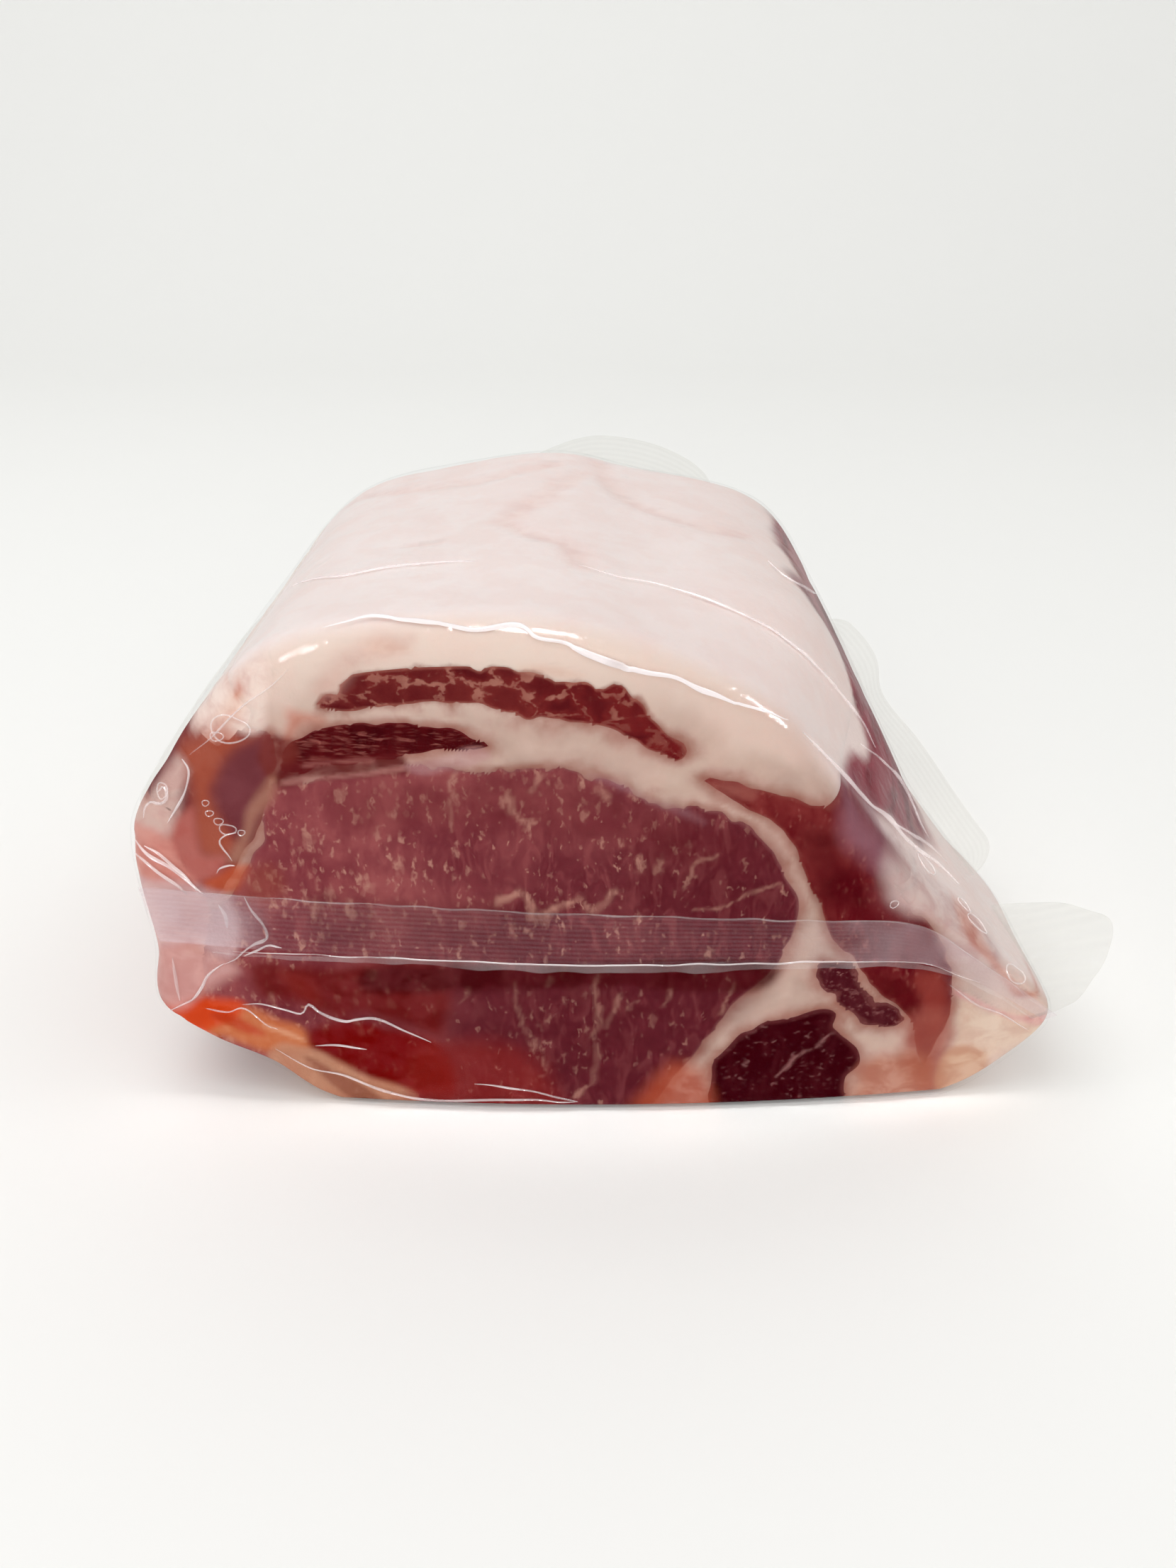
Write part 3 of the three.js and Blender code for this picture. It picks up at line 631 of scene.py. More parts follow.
@dataclass
class Effects:
    """Node groups that more than one finish uses, each made once.

    A pair of numbers is the stretch of a noise's level, or of a distance in cells, over which an effect
    comes in.
    """

    mottle_bend: float = 0.3
    fleck_shake: float = 0.9
    fleck_crowd: Band = (0.32, 0.58)
    fleck_worn: Band = (0.34, 0.62)
    fleck_left: Band = (0.35, 1.0)
    fleck_reach: float = 0.95
    fleck_core: float = 0.12
    lobule_shake: float = 0.6
    lobule_fine: Trio = (1.5, THROUGH, 1.3)
    lobule_fray: Band = (-0.07, 0.07)
    lobule_broken: Band = (0.38, 0.64)
    lobule_faint: Band = (0.36, 0.6)
    lobule_core: Band = (0.02, 0.34)
    moist_swing: float = 0.25
    moist_below: float = 0.12
    stain_waves: Trio = (6.0, 6.0, 4.5)
    stain_worn: Band = (0.36, 0.62)
    stain_left: Band = (0.8, 1.0)
    stain_deeper: Colour = srgb(234, 218, 218)
    outside_fat: Colour = srgb(235, 222, 219)
    outside_blush: Colour = srgb(228, 206, 201)
    outside_shade: Colour = srgb(226, 206, 200)
    outside_lean: Colour = srgb(140, 64, 74)
    outside_deep: Colour = srgb(100, 28, 38)
    outside_waves: Trio = (22.0, 22.0, 22.0)
    fibre_waves: Trio = (7.0, 24.0, 7.0)
    shade_from: Band = (0.0, 45.0)  # where the right side's fat falls into shade, in the part's frame

    def __post_init__(self) -> None:
        """Makes every group."""
        self._make_mottle()
        self._make_flecks()
        self._make_lobules()
        self._make_moist()
        self._make_stained()
        self._make_wall()

    @staticmethod
    def _start(name: str, inputs: str, outputs: str, kind: str = "Float") -> tuple[Wiring, Sockets, Sockets]:
        """A new group that reads a place.

        Args:
            name: the group's name.
            inputs: names of its other inputs, with a star for each that takes a colour and not a number.
            outputs: names of what it puts out.
            kind: the kind of what it puts out.

        Returns:
            Its wiring, and what it reads and puts out by name.
        """
        tree = bpy.data.node_groups.new(name, "ShaderNodeTree")
        tree.interface.new_socket(name="Place", in_out="INPUT", socket_type="NodeSocketVector")
        for label in inputs.split():
            own = "NodeSocketColor" if label.endswith("*") else "NodeSocketFloat"
            tree.interface.new_socket(name=label.rstrip("*"), in_out="INPUT", socket_type=own)
        for label in outputs.split():
            tree.interface.new_socket(name=label, in_out="OUTPUT", socket_type=f"NodeSocket{kind}")
        wiring = Wiring(tree)
        return wiring, wiring.node("NodeGroupInput").outputs, wiring.node("NodeGroupOutput").inputs

    def _make_mottle(self) -> None:
        """Soft uneven tone, from 0 to 1."""
        w, given, out = self._start("Mottle", "Wavelength Softness", "Share")
        level = w.noise(w.stretch(given["Place"], *[given["Wavelength"]] * 3), bend=self.mottle_bend)
        low = w.math("SUBTRACT", 0.5, given["Softness"])
        high = w.math("ADD", 0.5, given["Softness"])
        w.feed(out["Share"], w.span(level, low, high))
        self.mottle = w.tree

    def _make_flecks(self) -> None:
        """Marbling: pale flecks that run along the grain, in clusters."""
        w, given, out = self._start("Flecks", "Across Along Amount Cluster", "Mask")
        moved = w.grain_place(given["Place"], given["Across"], given["Along"], self.fleck_shake)
        cell = w.cells(moved, "F1")
        spread = w.stretch(given["Place"], given["Cluster"], THROUGH, given["Cluster"])
        crowd = w.span(w.noise(spread, detail=2.0), *self.fleck_crowd, *self.fleck_left)
        spare = w.math("SUBTRACT", w.draw(cell), w.math("SUBTRACT", 1.0, given["Amount"]))
        reach = w.math("MULTIPLY", spare, w.math("MULTIPLY", crowd, self.fleck_reach))
        reach = w.math("MAXIMUM", reach, 0.001)
        core = w.math("MULTIPLY", reach, self.fleck_core)
        mask = w.span(cell.outputs["Distance"], core, reach, 1.0, 0.0)
        worn = w.span(w.noise(moved, 1.7, 3.0), *self.fleck_worn, *self.fleck_left)
        w.feed(out["Mask"], w.math("MULTIPLY", mask, worn))
        self.flecks = w.tree

    def _make_lobules(self) -> None:
        """Bundles of muscle parted by pale lines."""
        w, given, out = self._start("Lobules", "Wide High Line", "Lines Bundle Core")
        moved = w.grain_place(given["Place"], given["Wide"], given["High"], self.lobule_shake)
        edge = w.cells(moved, "DISTANCE_TO_EDGE").outputs["Distance"]
        fine = w.noise(w.stretch(given["Place"], *self.lobule_fine), detail=3.0)
        edge = w.math("ADD", edge, w.span(fine, 0.3, 0.7, *self.lobule_fray))
        broken = w.noise(w.stretch(given["Place"], given["Wide"], THROUGH, given["High"]), 0.9, 2.0)
        width = w.math("MULTIPLY", given["Line"], w.span(broken, *self.lobule_broken, 0.3, 1.0))
        lines = w.span(edge, w.math("MULTIPLY", width, 0.2), width, 1.0, 0.0)
        w.feed(out["Lines"], w.math("MULTIPLY", lines, w.span(broken, *self.lobule_faint, 0.35, 1.0)))
        w.feed(out["Core"], w.span(edge, *self.lobule_core))
        w.feed(out["Bundle"], w.draw(w.cells(moved, "F1")))
        self.lobules = w.tree

    def _make_moist(self) -> None:
        """The fine grain of a moist cut: a height for bump and a roughness."""
        w, given, out = self._start("Moist", "Grain Roughness", "Height Roughness")
        level = w.noise(w.stretch(given["Place"], *[given["Grain"]] * 3))
        least = w.math("SUBTRACT", given["Roughness"], self.moist_below)
        w.feed(out["Height"], level)
        w.feed(out["Roughness"], w.math("MULTIPLY_ADD", level, self.moist_swing, least))
        self.moist = w.tree

    def _make_stained(self) -> None:
        """A colour with a stain, painted shade and painted sheen laid over it, unevenly."""
        w, given, out = self._start("Stained", "Colour* Stain* Share", "Colour", "Color")
        patches = w.noise(w.stretch(given["Place"], *self.stain_waves), bend=0.5)
        share = w.math("MULTIPLY", given["Share"], w.span(patches, *self.stain_worn, *self.stain_left))
        deeper = w.blend(1.0, given["Stain"], self.stain_deeper, "MULTIPLY")
        tone = w.blend(w.span(patches, 0.35, 0.65), given["Stain"], deeper)
        w.feed(out["Colour"], w.blend(share, given["Colour"], tone))
        self.stained = w.tree

    def _make_wall(self) -> None:
        """The outside of the roast: pale fat, with lean meat where it is bare."""
        w, given, out = self._start("Wall", "Lean", "Colour", "Color")
        patches = w.noise(w.stretch(given["Place"], *self.outside_waves), bend=self.mottle_bend)
        blush = w.math("MULTIPLY", w.span(patches, 0.25, 0.75), 0.4)
        fat = w.blend(blush, self.outside_fat, self.outside_blush)
        shade = w.span(w.axis(given["Place"], "X"), *self.shade_from, 0.0, 0.8)
        fat = w.blend(shade, fat, self.outside_shade)
        fibres = w.noise(w.stretch(given["Place"], *self.fibre_waves), rough=0.6, bend=0.6)
        lean = w.blend(w.span(fibres, 0.36, 0.66), self.outside_lean, self.outside_deep)
        w.feed(out["Colour"], w.blend(given["Lean"], fat, lean))
        self.wall = w.tree


class Paint(Wiring):
    """The wiring of one finish's material, with the shared effects at hand."""

    def __init__(self, name: str, effects: Effects) -> None:
        """A new material with an empty tree.

        Args:
            name: the material's name.
            effects: the shared effects.
        """
        self.material = bpy.data.materials.new(name)
        self.material.use_nodes = True
        super().__init__(self.material.node_tree)
        self.effects = effects
        self.here = self.place()

    def use(self, effect: Tree, **values: Value) -> Sockets:
        """What a shared effect puts out, with its inputs given by name."""
        return self.node("ShaderNodeGroup", {"Place": self.here, **values}, node_tree=effect).outputs

    def mottle(self, wave: float, soft: float) -> Socket:
        """Soft uneven tone, from 0 to 1."""
        return self.use(self.effects.mottle, Wavelength=wave, Softness=soft)["Share"]

    def outside(self, lean: Socket) -> Socket:
        """The colour of the roast's outside, by how far lean meat is bare there."""
        return self.use(self.effects.wall, Lean=lean)["Colour"]

    def stained(self, colour: Socket) -> Socket:
        """A colour with the stains, painted shade and painted sheen that the piece's points carry."""
        stain = {"Stain": self.reading("stain", "Color"), "Share": self.reading("stain_and_shade_share")}
        return self.use(self.effects.stained, Colour=colour, **stain)["Colour"]

    def bump(self, height: Socket, depth: float) -> Socket:
        """A normal from a height, with the height's full depth in metres."""
        inputs = {"Strength": 1.0, "Distance": depth, "Height": height}
        return self.node("ShaderNodeBump", inputs).outputs["Normal"]

    def show(self, shader: Node) -> Material:
        """The material, with this shader on its surface."""
        self.node("ShaderNodeOutputMaterial", {"Surface": shader.outputs[0]})
        return self.material

    def plain(self, colour: Socket, inputs: Inputs) -> Material:
        """The material, with a plain shader of this colour and these other inputs."""
        return self.show(self.node("ShaderNodeBsdfPrincipled", {"Base Color": colour, **inputs}))

    def moist(self, colour: Socket, grain: float, roughness: float, **others: Value) -> Material:
        """The material, moist as a fresh cut is.

        Args:
            colour: its colour under the stains.
            grain: the wavelength of its fine grain.
            roughness: its middle roughness.
            others: other inputs of its shader, with underscores for spaces.

        Returns:
            The material.
        """
        fine = self.use(self.effects.moist, Grain=grain, Roughness=roughness)
        inputs = {key.replace("_", " "): value for key, value in others.items()}
        inputs |= {"Roughness": fine["Roughness"], "Normal": self.bump(fine["Height"], MOIST_DEPTH)}
        return self.plain(self.stained(colour), {"Specular IOR Level": 0.0, **inputs})


@dataclass(frozen=True)
class LeanFinish:
    """Raw lean meat: two mottled tones that drift to a third, marbling, seams and a soft rim.

    Wavelengths and widths are in millimetres. The drift runs from (x, z) to (x, z) on the cut face.
    """

    name: str
    bright: Colour
    deep: Colour
    far: Colour
    fat: Colour
    rim: Colour
    drift: tuple[float, float, float, float] = (0.0, 0.0, 1.0, 0.0)
    drift_band: Band = (0.1, 1.1)
    drift_wander: float = 0.3
    patch: float = 14.0
    patch_soft: float = 0.22
    streak: float = 2.6
    streak_tall: float = 2.6
    streak_light: Band = (0.46, 0.68)
    streak_dark: Band = (0.32, 0.46)
    streak_share: float = 0.4
    grain: float = 1.6
    grain_soft: float = 0.3
    grain_share: float = 0.5
    grain_depth: float = 0.6
    fleck_across: float = 2.6
    fleck_along: float = 7.0
    fleck_amount: float = 0.55
    fleck_share: float = 0.6
    fleck_fade: float = 0.8
    fleck_cluster: float = 12.0
    fleck_sizes: tuple[Band, ...] = ((1.0, 0.9), (0.62, 0.8), (0.4, 0.5))  # sizes and shares
    lobule_wide: float = 0.0
    lobule_high: float = 4.0
    lobule_line: float = 0.17
    lobule_share: float = 0.0
    lobule_fade: Band = (0.5, 0.95)
    lobule_far: float = 0.1
    seam_band: Band = (0.38, 0.62)
    seam_shares: Band = (0.3, 0.7)
    rim_width: float = 0.7
    rim_share: float = 0.7
    moist_grain: float = 1.1
    roughness: float = 0.42

    def build(self, effects: Effects) -> Material:
        """Makes the material.

        Args:
            effects: the shared effects.

        Returns:
            The material.
        """
        w = Paint(self.name, effects)
        along = self._along(w)
        waves = (self.streak, THROUGH, self.streak_tall * self.streak)
        streak = w.noise(w.stretch(w.here, *waves), rough=0.6, bend=0.9)
        colour = self._marbling(w, along, self._flesh(w, along, streak))
        seam = w.math("MULTIPLY", w.reading("seam"), w.span(streak, *self.seam_band, *self.seam_shares))
        colour = w.blend(seam, colour, self.fat)
        colour = w.blend(w.span(w.reading("rim"), 0.0, self.rim_width, self.rim_share, 0.0), colour, self.rim)
        colour = w.blend(w.reading("wall"), colour, w.outside(w.reading("flesh")))
        return w.moist(colour, self.moist_grain, self.roughness)

    def _along(self, w: Paint) -> Socket:
        """How far along its drift a place lies, from 0 to 1.

        Args:
            w: the material's wiring.

        Returns:
            The share.
        """
        start_x, start_z, end_x, end_z = self.drift
        run_x, run_z = end_x - start_x, end_z - start_z
        length = run_x**2 + run_z**2
        offset = -((start_x + TO_PART[0]) * run_x + start_z * run_z) / length
        along = w.math("MULTIPLY_ADD", w.axis(w.here, "X"), run_x / length, offset)
        return w.math("MULTIPLY_ADD", w.axis(w.here, "Z"), run_z / length, along)

    def _flesh(self, w: Paint, along: Socket, streak: Socket) -> Socket:
        """The meat's own tones, without its fat.

        Args:
            w: the material's wiring.
            along: how far along its drift the place lies.
            streak: the streaks' level there.

        Returns:
            The colour.
        """
        mottle = w.mottle(self.patch, self.patch_soft)
        colour = w.blend(mottle, self.bright, self.deep)
        wander = w.math("MULTIPLY_ADD", mottle, self.drift_wander, along)
        colour = w.blend(w.span(wander, *self.drift_band), colour, self.far)
        colour = w.blend(w.span(streak, *self.streak_light, 0.0, self.streak_share), colour, self.bright)
        colour = w.blend(w.span(streak, *self.streak_dark, self.streak_share, 0.0), colour, self.deep)
        grain = w.math("MULTIPLY", w.mottle(self.grain, self.grain_soft), self.grain_share)
        return w.blend(grain, colour, w.blend(self.grain_depth, colour, self.deep))

    def _marbling(self, w: Paint, along: Socket, colour: Socket) -> Socket:
        """The meat with its flecks of fat, and with its bundles where it has them.

        Args:
            w: the material's wiring.
            along: how far along its drift the place lies.
            colour: the meat's own colour.

        Returns:
            The colour.
        """
        amount = w.span(along, 0.0, 1.2, self.fleck_amount, self.fleck_amount * self.fleck_fade)
        for size, share in self.fleck_sizes:
            sizes = {"Across": self.fleck_across * size, "Along": self.fleck_along * size}
            flecks = w.use(w.effects.flecks, Amount=amount, Cluster=self.fleck_cluster, **sizes)["Mask"]
            colour = w.blend(w.math("MULTIPLY", flecks, self.fleck_share * share), colour, self.fat)
        if not self.lobule_wide:
            return colour
        sizes = {"Wide": self.lobule_wide, "High": self.lobule_high, "Line": self.lobule_line}
        bundles = w.use(w.effects.lobules, **sizes)
        shade = w.span(bundles["Bundle"], 0.0, 1.0, 0.3, 1.0)
        colour = w.blend(w.math("MULTIPLY", shade, bundles["Core"]), colour, self.deep)
        fade = w.span(along, *self.lobule_fade, self.lobule_share, self.lobule_far)
        return w.blend(w.math("MULTIPLY", bundles["Lines"], fade), colour, self.fat)


@dataclass(frozen=True)
class FatFinish:
    """Raw fat: whiter on the outside, creamier on the cut, pink beside lean meat, stained by juice.

    Depths from lean meat, heights and wavelengths are in millimetres.
    """

    name: str = "pork_fat"
    crown: Colour = srgb(223, 202, 190)
    thick: Colour = srgb(206, 181, 170)
    cut: Colour = srgb(178, 150, 138)
    thin: Colour = srgb(150, 98, 86)
    warm: Colour = srgb(231, 203, 186)
    vein: Colour = srgb(222, 184, 174)
    patch: Band = (22.0, 0.25)  # a wavelength and a softness, as the next one and vein_patch are
    fray: Band = (4.0, 0.3)
    fray_depth: float = 1.2
    thick_from: Band = (3.0, 10.0)
    warm_share: float = 0.3
    crown_from: Band = (78.0, 96.0)
    halo_from: Band = (79.0, 86.0)  # heights between which the pink halo narrows
    halo_widths: Band = (3.8, 1.6)
    vein_patch: Band = (9.0, 0.1)
    vein_share: float = 0.14
    moist_grain: float = 2.2
    roughness: float = 0.4
    glow: float = 0.2
    glow_reach: Trio = (1.0, 0.5, 0.4)
    glow_scale: float = 0.003  # metres

    def build(self, effects: Effects) -> Material:
        """Makes the material.

        Args:
            effects: the shared effects.

        Returns:
            The material.
        """
        w = Paint(self.name, effects)
        depth = w.math("MULTIPLY_ADD", w.mottle(*self.fray), self.fray_depth, w.reading("rim"))
        height = w.axis(w.here, "Z")
        cut = w.blend(w.span(depth, *self.thick_from), self.cut, self.thick)
        cut = w.blend(w.math("MULTIPLY", w.mottle(*self.patch), self.warm_share), cut, self.warm)
        cut = w.blend(w.span(height, *self.crown_from), cut, self.crown)
        halo = w.span(height, *self.halo_from, *self.halo_widths)
        cut = w.blend(w.span(depth, 0.0, halo, 1.0, 0.0), cut, self.thin)
        bare = w.math("MULTIPLY", w.reading("wall"), w.reading("flesh"))
        colour = w.blend(w.reading("cut"), w.outside(bare), cut)
        colour = w.blend(w.math("MULTIPLY", w.mottle(*self.vein_patch), self.vein_share), colour, self.vein)
        glow = {
            "Subsurface_Weight": self.glow,
            "Subsurface_Radius": self.glow_reach,
            "Subsurface_Scale": self.glow_scale,
        }
        return w.moist(colour, self.moist_grain, self.roughness, **glow)


@dataclass(frozen=True)
class JuiceFinish:
    """Red juice between the film and the meat: dark at the foot, brown above, thin and pale at the top.

    Heights and wavelengths are in millimetres.
    """

    name: str = "red_juice"
    low: Colour = srgb(136, 44, 34)
    rose: Colour = srgb(184, 112, 100)
    brown: Colour = srgb(132, 62, 56)
    thin: Colour = srgb(232, 212, 204)
    pale: Colour = srgb(214, 170, 156)
    patch: Band = (12.0, 0.22)  # a wavelength and a softness
    patch_lift: float = 5.0
    run: Trio = (9.0, 26.0, 5.0)
    run_lift: float = 24.0
    rose_from: Band = (30.0, 46.0)
    brown_from: Band = (62.0, 70.0)
    thin_from: Band = (89.0, 95.0)
    pale_band: Band = (0.5, 0.66)
    pale_share: float = 0.5
    roughness: float = 0.25
    shine: float = 0.02

    def build(self, effects: Effects) -> Material:
        """Makes the material.

        Args:
            effects: the shared effects.

        Returns:
            The material.
        """
        w = Paint(self.name, effects)
        runs = w.noise(w.stretch(w.here, *self.run), bend=0.4)
        level = w.math("MULTIPLY_ADD", w.mottle(*self.patch), self.patch_lift, w.axis(w.here, "Z"))
        level = w.math("MULTIPLY_ADD", runs, self.run_lift, level)
        colour = w.blend(w.span(level, *self.rose_from), self.low, self.rose)
        colour = w.blend(w.span(level, *self.brown_from), colour, self.brown)
        colour = w.blend(w.span(level, *self.thin_from), colour, self.thin)
        colour = w.blend(w.span(runs, *self.pale_band, 0.0, self.pale_share), colour, self.pale)
        return w.plain(w.stained(colour), {"Roughness": self.roughness, "Specular IOR Level": self.shine})


@dataclass(frozen=True)
class FilmFinish:
    """Clear film: it reflects as plastic does, and veils what lies behind it as far as its points say."""

    name: str
    reads: str
    veil: float = 0.0
    tint: Colour = srgb(244, 234, 234)
    pass_tone: Colour = (1.0, 1.0, 1.0, 1.0)
    roughness: float = 0.07
    ripple: float = 0.0003  # metres
    ripple_patch: Band = (9.0, 0.4)  # a wavelength and a softness
    index: float = 1.1
    most: float = 0.3  # the most that it reflects

    def build(self, effects: Effects) -> Material:
        """Makes the material.

        Args:
            effects: the shared effects.

        Returns:
            The material.
        """
        w = Paint(self.name, effects)
        normal = w.bump(w.mottle(*self.ripple_patch), self.ripple)
        mirror = w.node("ShaderNodeBsdfGlossy", {"Roughness": self.roughness, "Normal": normal})
        clear = w.node("ShaderNodeBsdfTransparent", {"Color": self.pass_tone})
        milky = w.node("ShaderNodeBsdfDiffuse", {"Color": self.tint})
        veil = w.math("ADD", w.reading(self.reads), self.veil)
        body = w.node("ShaderNodeMixShader", {0: veil, 1: clear.outputs[0], 2: milky.outputs[0]})
        edge = w.node("ShaderNodeFresnel", {"IOR": self.index, "Normal": normal}).outputs[0]
        outside = w.math("SUBTRACT", 1.0, w.node("ShaderNodeNewGeometry").outputs["Backfacing"])
        share = w.math("MULTIPLY", w.math("MINIMUM", edge, self.most), outside)
        return w.show(w.node("ShaderNodeMixShader", {0: share, 1: body.outputs[0], 2: mirror.outputs[0]}))


@dataclass(frozen=True)
class PaperFinish:
    """White seamless paper under the pack."""

    name: str = "white_paper"
    tone: Colour = srgb(246, 246, 244)
    shade: Colour = srgb(232, 232, 230)
    shade_share: float = 0.06
    waves: float = 0.02  # to a millimetre
    roughness: float = 0.9

    def build(self, effects: Effects) -> Material:
        """Makes the material.

        Args:
            effects: the shared effects.

        Returns:
            The material.
        """
        w = Paint(self.name, effects)
        grain = w.math("MULTIPLY", w.noise(w.here, self.waves, 3.0), self.shade_share)
        tone = w.blend(grain, self.tone, self.shade)
        return w.plain(tone, {"Roughness": self.roughness, "Specular IOR Level": 0.0})


# The roast's form


@dataclass(frozen=True)
class PackForm:
    """The pack's section and how it changes on its way back, in millimetres.

    A pair of numbers is the stretch over which a change comes in.
    """

    depth: float = 122.0
    half_width: float = 84.0
    mid_height: float = 50.0
    front_round: float = 6.0
    low_round_share: float = 0.15
    low_round: Band = (4, 45)
    back_round: float = 13.0
    front_bow: float = 7.0
    back_bow: float = 9.0
    right: Band = (5, 40)
    right_end: Band = (40, 68)
    shoulder_run: float = 45.0
    shoulder_swell: float = 8.0
    swell_height: Band = (20, 60)
    shoulder_lift: float = 6.0
    lift_height: Band = (30, 75)
    left_taper: float = 3.0
    left: Band = (35, 75)
    tip_taper: float = 13.0
    tip: Band = (45, 80)
    tip_back: Band = (0.35, 1)  # as a share of the depth
    tip_height: Band = (25, 60)
    back_rise: float = 4.0
    rise: Band = (-40, 0)
    rise_height: Band = (50, 95)
    undraw_rounds: int = 8
    outline: Points = (
        (-46, -1), (-62, 8), (-74, 12.5), (-83.5, 19.5), (-83, 32), (-84.5, 46), (-84, 58), (-76.5, 70.5),
        (-68, 82), (-54, 94.5), (-28, 100), (2, 98), (32, 84), (47, 65), (64, 44), (80, 29), (91, 16),
        (82, 6.5), (67, -1),
    )

    def loop(self, count: int) -> Array:
        """The plain section's outline, counter-clockwise from the front."""
        return smooth_curve(self.outline, count, closed=True)[::-1]

    def drawn_in(self, level: Array, inset: float, front: bool) -> Array:
        """How far the section is drawn in.

        Args:
            level: at what heights.
            inset: how far it is drawn in at mid height.
            front: whether it belongs to the front half.

        Returns:
            How far at each height.
        """
        if not front:
            return np.full_like(level, inset)
        share = self.low_round_share + (1 - self.low_round_share) * ramp(level, *self.low_round)
        return inset * share

    def section(self, base: Array, inset: float, front: bool) -> Array:
        """The section's points, drawn in.

        Args:
            base: the plain section's points.
            inset: how far it is drawn in at mid height.
            front: whether it belongs to the front half.

        Returns:
            The points.
        """
        level = np.maximum(base[:, 1], 0.0)
        drawn = self.drawn_in(level, inset, front)
        x = base[:, 0] * (1 - drawn / self.half_width)
        z = self.mid_height + (level - self.mid_height) * (1 - drawn / self.mid_height)
        return np.stack([x, z], axis=1)

    def undraw(self, points: Array, inset: float) -> Array:
        """Where points of the front cut face lie in the plain section.

        Args:
            points: the points.
            inset: how far the face is drawn in at mid height.

        Returns:
            The plain section's places.
        """
        level = points[:, 1].copy()
        for _ in range(self.undraw_rounds):
            drawn = self.drawn_in(np.maximum(level, 0.0), inset, True)
            level = self.mid_height + (points[:, 1] - self.mid_height) / (1 - drawn / self.mid_height)
        drawn = self.drawn_in(np.maximum(level, 0.0), inset, True)
        return np.stack([points[:, 0] / (1 - drawn / self.half_width), level], axis=1)

    def rows(self, round_steps: int, body_step: float) -> list[tuple[float, float, bool]]:
        """Stations from the front cut face to the back one.

        Args:
            round_steps: how many stations a rounded edge has.
            body_step: how far apart the others are, about.

        Returns:
            The depth of each, its inset and whether it belongs to the front half.
        """
        turns = [i / round_steps * math.pi / 2 for i in range(round_steps)]
        rounds = [(1 - math.cos(turn), 1 - math.sin(turn)) for turn in turns]
        straight = self.depth - self.front_round - self.back_round
        steps = max(1, round(straight / body_step))
        body = [self.front_round + straight * i / steps for i in range(steps + 1)]
        out = [(self.front_round * back, self.front_round * inset, True) for back, inset in rounds]
        out += [(y, 0.0, y < self.depth / 2) for y in body]
        for back, inset in reversed(rounds):
            out.append((self.depth - self.back_round * back, self.back_round * inset, False))
        return out

    def settle(self, points: Array) -> Array:
        """Moves points of the plain block to where they lie in the roast.

        Args:
            points: the points.

        Returns:
            The moved points.
        """
        x, y, z = points.T
        along = np.clip(y / self.depth, 0.0, 1.0)
        shoulder = ramp(y, 0, self.shoulder_run)
        on_right = ramp(x, *self.right)
        crown = on_right * (1 - ramp(x, *self.right_end))
        across = (x / self.half_width) ** 2
        tip = self.tip_taper * ramp(along, *self.tip_back) * ramp(x, *self.tip)
        moved_x = (
            x
            + self.shoulder_swell * shoulder * on_right * ramp(z, *self.swell_height)
            + self.left_taper * along * ramp(-x, *self.left)
            - tip * (1 - ramp(z, *self.tip_height))
        )
        moved_y = y + self.front_bow * across * (1 - along) - self.back_bow * across * along
        moved_z = (
            z
            + self.shoulder_lift * shoulder * crown * ramp(z, *self.lift_height)
            + self.back_rise * along * ramp(x, *self.rise) * ramp(z, *self.rise_height)
        )
        return np.stack([moved_x, moved_y, moved_z], axis=1)


